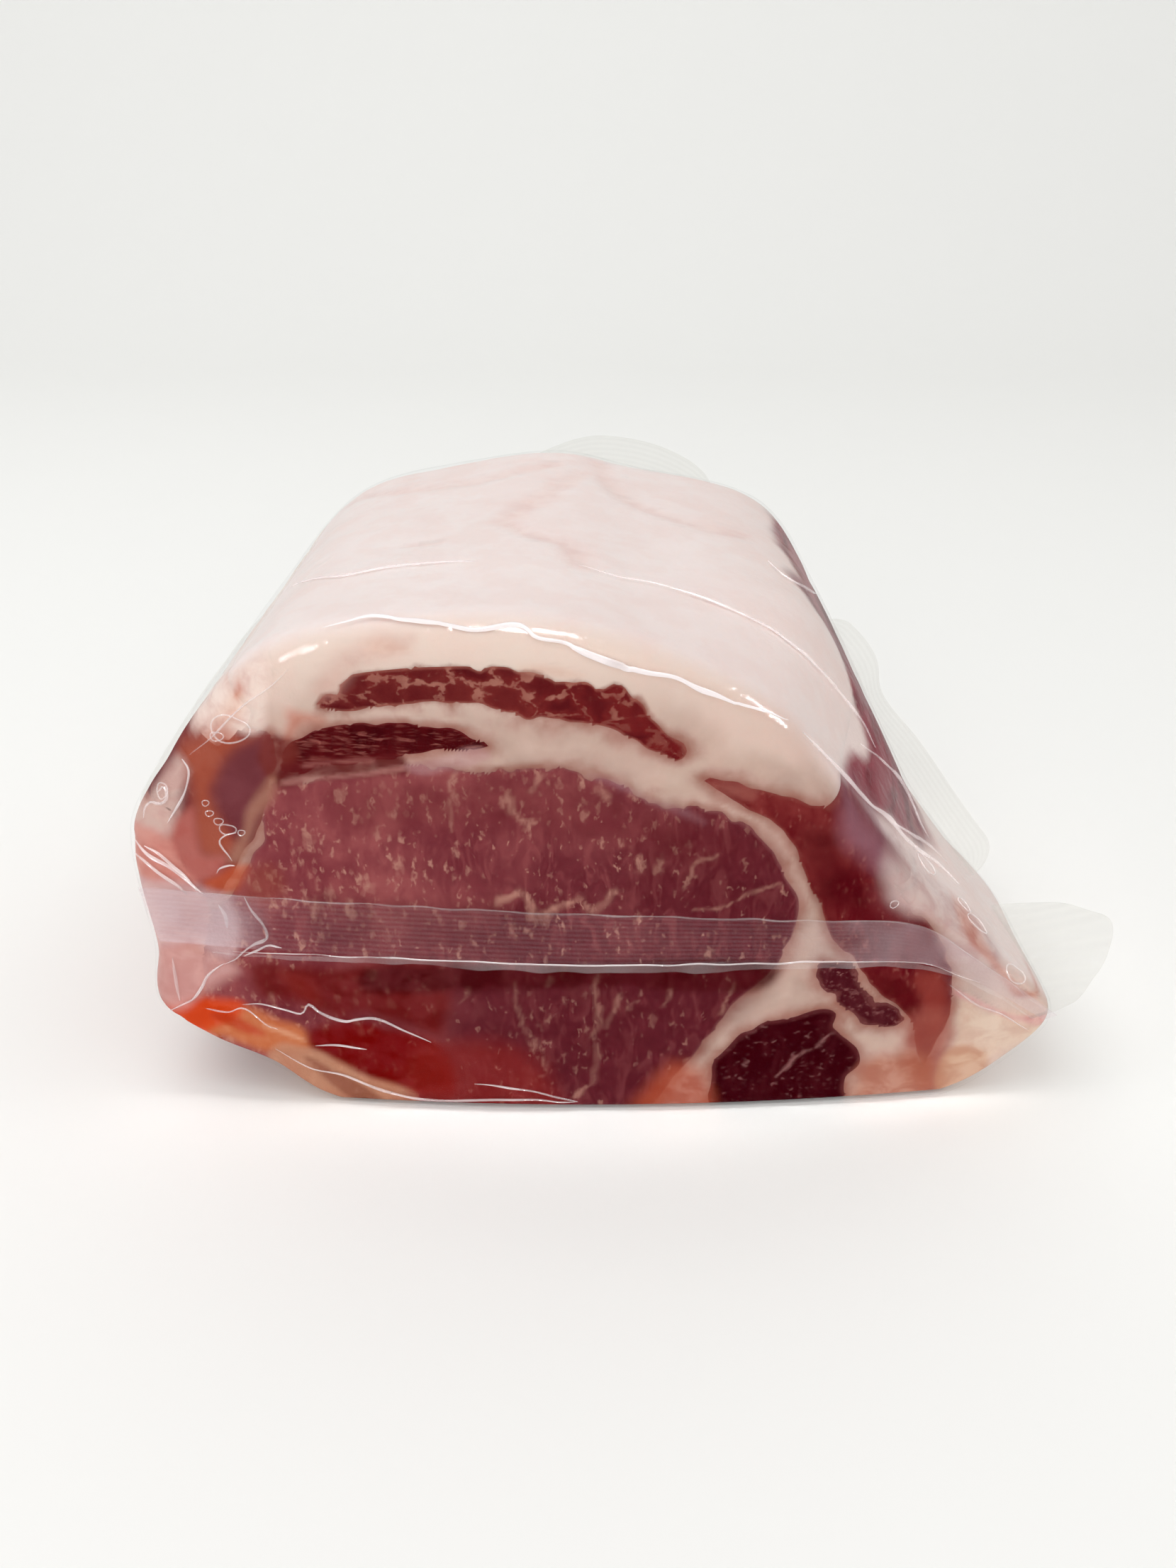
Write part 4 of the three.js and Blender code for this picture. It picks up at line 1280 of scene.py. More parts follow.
@dataclass
class RoastSurface:
    """One fine skin over the whole roast, parted along the outlines of fat, muscles and juice.

    Sizes are in millimetres. A pair of numbers is the stretch over which a change comes in.
    """

    form: PackForm
    cell: float = 0.62
    body_step: float = 2.2
    round_steps: int = 6
    rim_points: int = 1400
    outline_points: int = 220
    stain_points: int = 90
    snap: float = 0.45  # the share of a cell within which a point moves onto an outline
    least_slope: float = 0.25
    rim_fat: float = 2.0
    shake: float = 0.7
    edge: Waver = Waver(1.0, 6.5, 11)
    edge_fine: Waver = Waver(0.7, 2.6, 31)
    cap_middle: Points = (
        (-45, 83), (-36, 87.5), (-24, 89), (-12, 87.5), (0, 85.5), (9.5, 81.5), (17, 76.5),
    )
    cap_lobe: float = 1.2
    cap_level: float = 0.6
    cap_turn: float = 0.5  # radians to a millimetre
    cap_sway: Waver = Waver(0.9, 9.0, 43)
    cap_above: Band = (0.0, 2.0)
    small_fray: Waver = Waver(0.5, 1.5, 45)
    small_growth: float = 0.7
    eye_fray: Waver = Waver(0.8, 1.7, 41)
    eye_top: Band = (55, 66)
    seam_sway: Waver = Waver(0.7, 2.2, 5)
    seam_fray: Waver = Waver(0.9, 1.8, 17)
    seam_width: float = 0.8
    seam_core: float = 0.1
    seam_soft: float = 1.3
    cut_end: float = 0.5
    sunk: float = 0.25
    swell: Waver = Waver(0.28, 17.0, 3)
    swell_fine: Waver = Waver(0.12, 6.0, 4)
    fat_stands: float = 0.22
    fat_from: Band = (0.2, 2.5)
    groove: float = 0.15
    groove_width: float = 0.9
    held_below: float = 3.0
    wall_end: Band = (9, 3)  # short of the back cut face
    wall_broad: Waver = Waver(2.2, 14.0, 61)
    wall_fine: Waver = Waver(1.2, 5.0, 62)
    wall_ragged: float = 1.6
    right_from: Band = (38, 44)
    right_behind: Band = (5, 11)
    ceiling: float = 66.0
    ceiling_rise: float = 23.0
    ceiling_run: Band = (22, 64)
    ceiling_soft: float = 1.5
    floor: float = 40.0
    floor_rise: float = 22.0
    floor_run: Band = (8, 34)
    floor_soft: float = 4.0
    left_from: Band = (42, 48)
    left_behind: Band = (9, 18)
    brow: float = 76.0
    brow_sway: Waver = Waver(5.0, 30.0, 63)
    brow_soft: float = 2.0
    stain_end: Band = (9, 18)
    stain_fray: Waver = Waver(1.0, 3.5, 51)
    fray_most: float = 0.6
    fray_share: float = 0.4
    stain_reach: float = 2.5
    crease_above: float = 85.0
    crease_depth: float = 0.5
    crease_sway: Waver = Waver(0.4, 8.0, 55)
    crease_shade_share: float = 0.42
    rim_depth: float = 1.5  # how fast fat leaves the lean meat's rim on its way back

    def __post_init__(self) -> None:
        """Works out the skin."""
        self._front_face()
        self._walk_rim()
        self._run_back()

    def _gap(self, region: Region, flat: Array) -> Array:
        """How far points lie from a region's outline, roughened as flesh is.

        Args:
            region: which one.
            flat: the points on the cut face.

        Returns:
            The distances, negative inside.
        """
        loop = smooth_curve(OUTLINES[region], self.outline_points, closed=True)
        strength = ROUGHNESS.get(region, 1.0) * self.shake
        shift = strength * (self.edge.pair(flat) + self.edge_fine.pair(flat))
        if region is Region.CAP:
            middle = np.interp(flat[:, 0], *np.transpose(self.cap_middle))
            lobes = np.abs(np.sin(self.cap_turn * flat[:, 0] + self.cap_sway.at(flat)))
            above = ramp(flat[:, 1] - middle, *self.cap_above)
            shift[:, 1] += self.cap_lobe * (self.cap_level - lobes) * above
        if region is Region.SMALL:
            shift += self.small_fray.pair(flat)
        if region is Region.LOIN_EYE:
            shift[:, 1] += self.eye_fray.at(flat) * ramp(flat[:, 1], *self.eye_top)
        growth = self.small_growth if region is Region.SMALL else 0.0
        return signed_distance(flat + shift, loop) - growth

    def _front_face(self) -> None:
        """Fills the front cut face with a fine net whose lines follow every outline."""
        form, h = self.form, self.cell
        self._base = form.loop(self.rim_points)
        rim = form.section(self._base, form.front_round, True)
        low, high = rim.min(0) - 2 * h, rim.max(0) + 2 * h
        gx, gz = np.meshgrid(np.arange(low[0], high[0], h), np.arange(low[1], high[1], h))
        flat = np.stack([gx.ravel(), gz.ravel()], axis=1)
        inside = signed_distance(flat, rim[::2])
        kept = inside <= h / 2
        on_rim = kept & (inside > -h / 2)
        places = np.full(len(flat), np.nan)
        places[on_rim] = place_on_loop(flat[on_rim], rim)
        flat[on_rim] = read_loop(rim, places[on_rim])
        gaps = {region: self._gap(region, flat) for region in OUTLINES}
        for region in (Region.CAP, Region.INNER, Region.SMALL):
            gaps[region] = np.maximum(gaps[region], inside + self.rim_fat)
        line = self._snap(flat, gaps, kept & ~on_rim, gx.shape)
        triangles = self._part_cells(np.arange(len(flat)).reshape(gx.shape), kept, line)
        used = np.unique(triangles)
        self._front = np.searchsorted(used, triangles)
        self._flat = flat[used]
        self._loop_place = places[used]
        self.gaps = {region: gap[used] for region, gap in gaps.items()}
        mean = np.stack([gap[self._front].mean(1) for gap in self.gaps.values()])
        self.labels = np.where(mean.min(0) < 0, mean.argmin(0), len(OUTLINES))

    def _snap(self, flat: Array, gaps: dict[Region, Array], free: Array, shape: tuple[int, ...]) -> Array:
        """Moves the net's points that lie near an outline onto it.

        Args:
            flat: the net's points, which it moves.
            gaps: their distances to each outline, which it sets to nothing where it moves them.
            free: which points may move.
            shape: the net's rows and columns.

        Returns:
            The number of the outline that each point lies on, or -1.
        """
        stack = np.stack(list(gaps.values()))
        nearest = np.abs(stack).argmin(0)
        close = np.take_along_axis(stack, nearest[None], 0)[0]
        near = free & (np.abs(close) < self.snap * self.cell)
        line = np.full(len(flat), -1)
        for number, gap in enumerate(gaps.values()):
            chosen = near & (nearest == number)
            slopes = np.gradient(stack[number].reshape(shape), self.cell)
            down, right = (slope.ravel()[chosen] for slope in slopes)
            size = np.maximum(down**2 + right**2, self.least_slope)
            flat[chosen] -= (close[chosen] / size)[:, None] * np.stack([right, down], axis=1)
            gap[chosen] = 0.0
            line[chosen] = number
        return line

    @staticmethod
    def _part_cells(corner: Array, kept: Array, line: Array) -> Array:
        """Parts the net's cells into triangles along the outlines.

        Args:
            corner: the net's point numbers, by row and column.
            kept: which points are kept.
            line: the number of the outline that each point lies on.

        Returns:
            The triangles, as rows of point numbers.
        """
        a, b = corner[:-1, :-1].ravel(), corner[:-1, 1:].ravel()
        c, d = corner[1:, 1:].ravel(), corner[1:, :-1].ravel()
        whole = kept[a] & kept[b] & kept[c] & kept[d]
        turned = whole & (line[b] >= 0) & (line[b] == line[d]) & ~((line[a] >= 0) & (line[a] == line[c]))
        plain = whole & ~turned
        halves = (((a, b, c), plain), ((a, c, d), plain), ((a, b, d), turned), ((b, c, d), turned))
        faces = [np.stack(trio, 1)[chosen] for trio, chosen in halves]
        for left_out, *trio in ((a, b, c, d), (b, c, d, a), (c, d, a, b), (d, a, b, c)):
            chosen = ~kept[left_out] & kept[trio[0]] & kept[trio[1]] & kept[trio[2]]
            faces.append(np.stack(trio, 1)[chosen])
        return np.vstack(faces)

    def _walk_rim(self) -> None:
        """Finds which triangles meet at each edge, and walks the front face's rim in order."""
        count = len(self._flat)
        edges = self._front[:, [0, 1, 1, 2, 2, 0]].reshape(-1, 2)
        owner = np.repeat(np.arange(len(self._front)), 3)
        keys = edges[:, 0] * count + edges[:, 1]
        back_keys = edges[:, 1] * count + edges[:, 0]
        order = np.argsort(keys)
        at = np.minimum(np.searchsorted(keys[order], back_keys), len(keys) - 1)
        met = keys[order][at] == back_keys
        self._edges, self._owner = edges, owner
        self._other = np.where(met, owner[order][at], -1)
        bare = np.flatnonzero(~met)
        following = {int(edges[e, 0]): (int(edges[e, 1]), int(owner[e])) for e in bare}
        start = here = int(edges[bare[0], 0])
        loop, strip = [], []
        while not loop or here != start:
            loop.append(here)
            here, triangle = following[here]
            strip.append(triangle)
        self._loop, self._strip = np.array(loop), np.array(strip)

    def _run_back(self) -> None:
        """Carries the face's rim back along the roast and closes it with the back cut face."""
        form, count = self.form, len(self._flat)
        base = form.undraw(self._flat, form.front_round)
        base[self._loop] = base_rim = read_loop(self._base, self._loop_place[self._loop])
        rows = form.rows(self.round_steps, self.body_step)[1:-1]
        sides = [at_depth(form.section(base_rim, inset, front), y) for y, inset, front in rows]
        back = at_depth(form.section(base, form.back_round, False), form.depth)
        plain = np.vstack([at_depth(self._flat, 0.0), back] + sides)
        rings = 2 * count + np.arange(len(sides) * len(self._loop)).reshape(len(sides), -1)
        self._column = np.vstack([self._loop, rings, count + self._loop])
        self._quads = ring_quads(self._column)
        quads = self._quads.reshape(-1, 4)
        self.triangles = np.vstack(
            [self._front, self._front[:, ::-1] + count, quads[:, [0, 1, 2]], quads[:, [0, 2, 3]]]
        )
        lateral = np.tile(self._loop, len(sides))
        self.gaps = {region: np.concatenate([gap, gap, gap[lateral]]) for region, gap in self.gaps.items()}
        self._lean = np.min([gap for region, gap in self.gaps.items() if region is not Region.JUICE], axis=0)
        seam = self._lay_seams()
        self.seam = np.concatenate([seam, seam, np.zeros(len(lateral))])
        self.inward = np.minimum(plain[:, 1], form.depth - plain[:, 1])
        side_cut = 1 - ramp(self.inward[2 * count :], self.cut_end, form.front_round)
        self.cut = np.concatenate([np.ones(2 * count), side_cut])
        self._back = plain[:, 1]
        self._settled = settled = form.settle(plain)
        settled[:, 2] = np.maximum(settled[:, 2], LIFT)
        self._side_walls()
        self._lay_stains_and_shade()
        crease = self._lay_creases()
        relief = self.swell.at(settled) + self.swell_fine.at(settled)
        groove = 1 - ramp(np.abs(self._lean), 0.0, self.groove_width)
        relief += self.fat_stands * ramp(self._lean, *self.fat_from) - self.groove * groove
        relief *= ramp(settled[:, 2], LIFT, self.held_below)
        normals = vertex_normals(settled, self.triangles)
        self.points = settled + normals * (relief - self.sunk - self.crease_depth * crease)[:, None]

    def _lay_seams(self) -> Array:
        """Lays the seams of fat.

        Returns:
            How much of each place on the cut face is seam, from 0 to 1.
        """
        seam = np.zeros(len(self._flat))
        for line, half in SEAMS:
            path = smooth_curve(line, LINE_STEPS, closed=False)
            gap = distance_to_line(self._flat, path + self.seam_sway.pair(path))
            ragged = self.seam_width * half * (1 + self.seam_fray.at(self._flat))
            core, soft = self.seam_core * ragged.clip(0.1), self.seam_soft * ragged.clip(0.25)
            seam = np.maximum(seam, 1 - ramp(gap, core, soft))
        return seam

    def _side_walls(self) -> None:
        """Where the sides show lean meat and where fat, whichever solid lies there."""
        settled, back = self._settled, self._back
        x, y, z = settled.T
        ends = 1 - ramp(back, *(self.form.depth - short for short in self.wall_end))
        uneven = self.wall_broad.at(settled) + self.wall_fine.at(settled)
        right = ramp(x, *self.right_from) * ramp(back, *self.right_behind) * ends
        ceiling = self.ceiling + self.ceiling_rise * ramp(y, *self.ceiling_run) + uneven
        floor = self.floor + self.floor_rise * (1 - ramp(y, *self.floor_run)) + self.wall_ragged * uneven
        below = 1 - ramp(z, ceiling - self.ceiling_soft, ceiling + self.ceiling_soft)
        right_lean = below * ramp(z, floor - self.floor_soft, floor + self.floor_soft)
        left = ramp(-x, *self.left_from) * ramp(back, *self.left_behind) * ends
        brow = self.brow + self.brow_sway.at(settled) + self.wall_ragged * uneven
        left_lean = 1 - ramp(z, brow - self.brow_soft, brow + self.brow_soft)
        self.wall = right + left
        self.flesh = np.where(x > 0, right_lean, left_lean)

    def _lay_stains_and_shade(self) -> None:
        """Lays every stain, painted shade and painted sheen over the ones before it, on and just behind the
        front cut face.
        """
        flat = self._settled[:, [0, 2]]
        ragged = self.stain_fray.pair(self._settled)
        near = 1 - ramp(self._back, *self.stain_end)
        tone = np.zeros((len(flat), 3))
        clear = np.ones(len(flat))
        for stain in STAINS_SHADE_AND_SHEEN:
            outline = smooth_curve(stain.outline, self.stain_points, closed=True)
            spread = self.stain_reach * stain.soft
            low, high = outline.min(0) - spread, outline.max(0) + spread
            touched = np.flatnonzero((near > 0) & (flat > low).all(1) & (flat < high).all(1))
            fray = min(self.fray_most, self.fray_share * stain.soft)
            gap = signed_distance(flat[touched] + fray * ragged[touched], outline)
            share = stain.strength * near[touched] * (1 - ramp(gap, -stain.soft, stain.soft))
            colour = np.array(srgb(*stain.tone)[:3])
            tone[touched] = tone[touched] * (1 - share)[:, None] + share[:, None] * colour
            clear[touched] *= 1 - share
        self.stain_and_shade_share = 1 - clear
        pure = tone / np.maximum(self.stain_and_shade_share, 1e-6)[:, None]
        self.stain = np.column_stack([pure, np.ones(len(flat))])

    def _lay_creases(self) -> Array:
        """Paints shade into the creases in the fat on top, as a pinkish tint.

        Returns:
            How deep in a crease each point lies, from 0 to 1.
        """
        settled = self._settled
        depth = np.zeros(len(settled))
        top = np.flatnonzero(settled[:, 2] > self.crease_above)
        uneven = 1 + self.crease_sway.at(settled[top])
        for line, half in CREASES:
            gap = distance_to_line(settled[top, :2], smooth_curve(line, LINE_STEPS, closed=False))
            depth[top] = np.maximum(depth[top], 1 - ramp(gap * uneven, 0.0, half))
        creased = depth > 0
        # painted shade in the creases
        self.stain[creased, :3] = srgb(*CREASE_SHADE)[:3]
        self.stain_and_shade_share[creased] = self.crease_shade_share * depth[creased]
        return depth

    def piece(self, region: Region) -> Skin:
        """The closed solid of one region, run through the roast from cut face to cut face.

        Args:
            region: which one.

        Returns:
            Its mesh.
        """
        count = len(self._flat)
        wanted = [*OUTLINES, Region.FAT].index(region)
        mine = self.labels == wanted
        front = self._front[mine]
        strips = self._quads[:, self.labels[self._strip] == wanted].reshape(-1, 4)
        faces = as_faces(front) + as_faces(front[:, ::-1] + count) + as_faces(strips)
        first_wall = len(faces)
        walls = mine[self._owner] & (self._other >= 0) & ~mine[self._other]
        column_of = {int(v): self._column[1:-1, i].tolist() for i, v in enumerate(self._loop)}
        for a, b in self._edges[walls].tolist():
            chain_a, chain_b = column_of.get(a, []), column_of.get(b, [])
            outline = (b, a, *chain_a, a + count, b + count, *reversed(chain_b))
            if bool(chain_a) == bool(chain_b):
                faces.append(outline)
                continue
            start = 0 if chain_a else 1
            fan = outline[start:] + outline[:start]
            faces += [(fan[0], here, after) for here, after in zip(fan[1:], fan[2:])]
        used = np.unique(np.concatenate([np.array(face) for face in faces]))
        number_of = {old: new for new, old in enumerate(used.tolist())}
        faces = [tuple(number_of[v] for v in face) for face in faces]
        fat = region is Region.FAT
        rim = self._lean + self.rim_depth * self.inward if fat else -self.gaps[region]
        values = {"rim": np.maximum(rim, 0.0)[used]}
        for name in ("seam", "cut", "wall", "flesh", "stain", "stain_and_shade_share"):
            values[name] = getattr(self, name)[used]
        return Skin(self.points[used], faces, values, first_wall)


# Sub-assemblies


# The tones of each muscle: bright, deep, far along its drift, its fat and its rim
LEAN: dict[Region, LeanFinish] = {
    Region.LOIN_EYE: LeanFinish(
        "loin_eye_lean", srgb(153, 82, 82), srgb(119, 50, 57), srgb(84, 25, 34), srgb(188, 138, 122),
        srgb(132, 80, 80), drift=(-46, 66, 14, 18), fleck_across=3.3, fleck_along=5.6, fleck_amount=0.62,
        fleck_share=0.75, fleck_fade=0.62,
    ),
    Region.CAP: LeanFinish(
        "cap_lean", srgb(120, 44, 41), srgb(84, 18, 22), srgb(110, 26, 27), srgb(176, 122, 106),
        srgb(146, 84, 74), drift=(-30, 88, 20, 76), fleck_across=1.6, fleck_along=1.4, fleck_amount=0.3,
        fleck_share=0.55, lobule_wide=6.4, lobule_high=5.0, lobule_share=0.6,
    ),
    Region.INNER: LeanFinish(
        "inner_lean", srgb(84, 14, 18), srgb(50, 2, 6), srgb(60, 3, 9), srgb(150, 84, 76),
        srgb(100, 30, 32), fleck_across=5.5, fleck_along=1.2, fleck_amount=0.75, fleck_share=0.7,
        rim_width=0.5, patch=8.0, streak=1.8,
    ),
    Region.SIDE: LeanFinish(
        "side_lean", srgb(132, 52, 50), srgb(92, 14, 20), srgb(92, 14, 22), srgb(166, 100, 88),
        srgb(128, 62, 56), drift=(30, 68, 58, 40), fleck_across=2.2, fleck_along=4.0, fleck_amount=0.5,
        fleck_share=0.55, patch=9.0, streak=1.7,
    ),
    Region.SMALL: LeanFinish(
        "small_lean", srgb(100, 42, 48), srgb(66, 14, 22), srgb(70, 16, 24), srgb(146, 92, 90),
        srgb(116, 64, 62), fleck_across=2.4, fleck_along=1.8, fleck_amount=0.75, fleck_share=0.7,
        patch=6.0, rim_width=1.2,
    ),
    Region.LOWER: LeanFinish(
        "lower_lean", srgb(84, 24, 30), srgb(50, 1, 6), srgb(52, 1, 7), srgb(146, 98, 96),
        srgb(98, 44, 46), fleck_across=3.0, fleck_along=2.2, fleck_amount=0.55, fleck_share=0.45,
        patch=8.0, rim_width=1.3,
    ),
    Region.LEFT: LeanFinish(
        "left_lean", srgb(122, 60, 62), srgb(98, 38, 44), srgb(104, 40, 42), srgb(170, 114, 104),
        srgb(126, 66, 60), fleck_amount=0.35, fleck_share=0.4,
    ),
}


@dataclass
class Roast:
    """Fat, muscles and juice."""

    effects: Effects
    form: PackForm

    def build(self) -> None:
        """Makes every solid of the roast."""
        surface = RoastSurface(self.form)
        solids = [("roast_fat", Region.FAT, Slot.FAT, FatFinish())]
        solids += [(f"roast_{region.value}", region, Slot.LEAN, finish) for region, finish in LEAN.items()]
        solids.append(("pouch_juice", Region.JUICE, Slot.JUICE, JuiceFinish()))
        for name, region, slot, finish in solids:
            surface.piece(region).place(name, finish.build(self.effects), slot, region.value)


@dataclass(frozen=True)
class Fold:
    """A raised line in the film: where it runs, how wide and high it is, and how milky; the milky white
    partly paints the highlight along it.

    Its points are (x, z) on the film's front, or (x, y, z) near the film.
    """

    line: Points
    width: float
    height: float
    veil: float
    free: bool = False  # runs where its points are, not on the film


@dataclass(frozen=True)
class Bubble:
    """The rim of a flat bubble under the film: its place, as a fold's point, its half sizes and turn."""

    place: tuple[float, ...]
    wide: float
    tall: float
    turn_deg: float = 0.0


@dataclass(frozen=True)
class Haze:
    """A place where the film stands off the meat and looks milky; on the right the milky white also paints
    part of the film's grazing reflection.
    """

    place: tuple[float, float, float]
    reach: float
    veil: float


FOLDS: tuple[Fold, ...] = (
    # along the crown of the cut face: a painted highlight, a line milky enough to show fully white
    Fold(((-44.5, 5.5, 97), (-41, 5.5, 98), (-37, 6, 98.5), (-31, 4, 99), (-25, 3, 99), (-19, 2, 98),
        (-11.5, 2.5, 98.5), (-8.5, 1, 97), (-4, 1, 96), (1.5, 0.5, 94), (7, 0.5, 92), (13.5, 0.5, 90.5),
        (20, 1, 87.5), (26, 1.5, 85), (34, 3.5, 81)), 1.5, 0.45, 2.4),
    # across the top
    Fold(((-57.5, 44.5, 91.5), (-45, 32, 97.5), (-37.5, 32, 99), (-28, 31.5, 100),
        (-20.5, 30.5, 101)), 0.9, 0.2, 0.5),
    Fold(((-1.5, 32, 99.5), (4.5, 30.5, 98), (10.5, 31.5, 97), (20.5, 29.5, 94.5), (30.5, 27, 90.5),
        (41.5, 25.5, 83), (46.5, 28.5, 77)), 0.9, 0.2, 0.5),
    Fold(((36.5, 59.5, 92), (40, 54.5, 90), (45, 60, 85.5), (48.5, 71.5, 81)), 0.9, 0.3, 0.5),
    # down the right side
    Fold(((37, 4, 78.5), (42.5, 6.5, 72), (46.5, 9, 67), (51.5, 11.5, 61), (56.5, 15.5, 55.5), (60, 17, 51),
        (63.5, 19.5, 47), (69.5, 25, 40.5), (74, 25.5, 35.5)), 1.1, 0.55, 0.6),
    Fold(((33, 26.5, 89.5), (38.5, 25.5, 85.5), (45, 27, 78.5), (52.5, 31, 68.5),
        (55.5, 30.5, 63.5)), 0.8, 0.4, 0.4),
    Fold(((51.5, 24.5, 67), (57, 30, 61), (61, 33.5, 56), (64.5, 35, 50), (66.5, 32, 46),
        (68.5, 31, 43)), 0.8, 0.4, 0.5),
    Fold(((56.5, 15.5, 55.5), (62.5, 22, 49), (68, 28, 43), (72.5, 30.5, 38)), 0.7, 0.35, 0.5),
    Fold(((68.5, 4.5, 26.5), (73.5, 5.5, 22), (77.5, 6, 19.5), (81, 6.5, 17.5),
        (86, 7.5, 14)), 0.7, 0.3, 0.45),
    # over the juice at the lower left
    Fold(((-66, 22), (-62.5, 22.5), (-57.5, 21.5), (-54.5, 21), (-53, 23), (-51, 21.5), (-46, 19.5),
        (-44, 20), (-40.5, 20.5), (-34.5, 18), (-30, 15.5)), 0.6, 0.35, 0.55),
    Fold(((-52.5, 13.5), (-47.5, 14), (-42.5, 13.5)), 0.5, 0.3, 0.6),
    Fold(((-60.5, 12), (-53.5, 8), (-48, 7), (-43.5, 5), (-35, 2.5), (-27, 2), (-16.5, 2.5),
        (-2, 2)), 0.6, 0.35, 0.45),
    Fold(((-22, 6), (-15.5, 5.5), (-9, 4), (-2, 2)), 0.5, 0.3, 0.5),
    Fold(((-73.5, 20.5), (-69, 20), (-66, 21), (-61.5, 17.5), (-59.5, 17)), 0.5, 0.3, 0.45),
    # gathered at the left end of the front seal
    Fold(((-83, 55.5), (-81, 54), (-77, 51.5), (-74, 49), (-71.5, 46.5), (-71, 46)), 0.9, 0.6, 0.75),
    Fold(((-81, 55), (-78.5, 54), (-75.5, 51), (-73.5, 49), (-72, 46.5)), 0.7, 0.5, 0.7),
    Fold(((-83.5, 52.5), (-81.5, 52), (-78, 49.5), (-75.5, 47.5), (-74, 45.5)), 0.9, 0.5, 0.55),
    Fold(((-68, 44), (-67, 42), (-67, 39)), 0.7, 0.9, 0.7),
    Fold(((-63, 46), (-62, 43.5), (-60, 40.5), (-59.5, 37.5), (-62, 36), (-65, 33.5), (-66, 32.5),
        (-68.5, 31)), 0.7, 0.9, 0.65),
    Fold(((-57, 35.5), (-59.5, 36), (-62, 34.5), (-64.5, 33)), 0.8, 0.6, 0.7),
    Fold(((-68.5, 31), (-71, 29), (-72.5, 27.5), (-74, 25), (-76, 22), (-78.5, 20.5),
        (-81, 19)), 0.8, 0.5, 0.6),
    Fold(((-78.5, 31.5), (-78.5, 27), (-78.5, 24), (-78.5, 21.5)), 0.9, 0.5, 0.5),
    # loose film on the left
    Fold(((-70, 74), (-66, 77.5), (-62, 81.5), (-59, 84), (-55, 87), (-50.5, 91)), 0.5, 0.25, 0.4),
    Fold(((-71.5, 73), (-70.5, 71.5), (-71.5, 67.5), (-73.5, 63.5), (-75.5, 60.5)), 0.7, 0.4, 0.7),
    Fold(((-77, 66), (-75.5, 67.5), (-75, 65.5), (-76.5, 64), (-78.5, 64), (-80, 62.5),
        (-80.5, 60.5)), 0.6, 0.4, 0.75),
    Fold(((-63, 59.5), (-65, 59), (-66.5, 57.5), (-66, 56), (-65, 54.5), (-64.5, 53.5)), 0.4, 0.3, 0.6),
    Fold(((-67.5, 50.5), (-67, 51.5), (-65, 52.5), (-64, 52.5)), 0.4, 0.3, 0.55),
    # the front seal's weld and its free edge
    Fold(((-70, 2.6, 34.4), (-52, 0.6, 34.6), (-26, -1.1, 34.4), (0, -1.9, 33.8), (40, -0.3, 33.4),
        (62, 1.9, 31.9), (74, 3.4, 26.6), (86, 4.9, 18)), 2.6, 0.16, 0.1, free=True),
    Fold(((-66, 2, 35.2), (-52, 0.4, 35.4), (-26, -1.3, 35.2), (0, -2.1, 34.6), (40, -0.5, 34.2),
        (62, 1.7, 32.7), (74, 3.2, 27.4)), 0.5, 0.12, 0.5, free=True),
    Fold(((-80, 4.1, 47.5), (-54, 0.7, 47), (0, -2.1, 45.4), (40, -0.5, 43.2), (61, 1.6, 40.6),
        (75, 3.1, 31), (88, 4.7, 19.8)), 0.45, 0.07, 0.16, free=True),
)

BUBBLES: tuple[Bubble, ...] = (
    Bubble((65, 18, 44.5), 3.4, 2.3, -40.0),
    Bubble((73, 17, 36), 1.7, 1.9),
    Bubble((74.5, 13, 34), 2.2, 3.2, 25.0),
    Bubble((81.5, 7, 26.5), 2.6, 2.0, -30.0),
    Bubble((56, 3, 45), 0.7, 0.8),
    Bubble((-62, 79.5), 3.6, 2.5, 20.0),
    Bubble((-64.5, 78), 1.1, 0.9),
    Bubble((-68, 65), 0.6, 0.6),
    Bubble((-67.5, 63), 0.7, 0.6),
    Bubble((-66, 61.5), 0.8, 0.7),
    Bubble((-64.5, 60), 1.4, 1.1),
    Bubble((-62, 59.5), 0.6, 0.6),
    Bubble((-76, 66.5), 1.2, 1.6, 20.0),
)

HAZES: tuple[Haze, ...] = (
    Haze((62, 25, 52), 16, 0.1),
    Haze((76, 8, 27), 10, 0.14),
    Haze((64, 60, 52), 26, 0.1),
    Haze((58, 95, 58), 26, 0.1),
    Haze((-82, 7, 42), 8, 0.16),
)


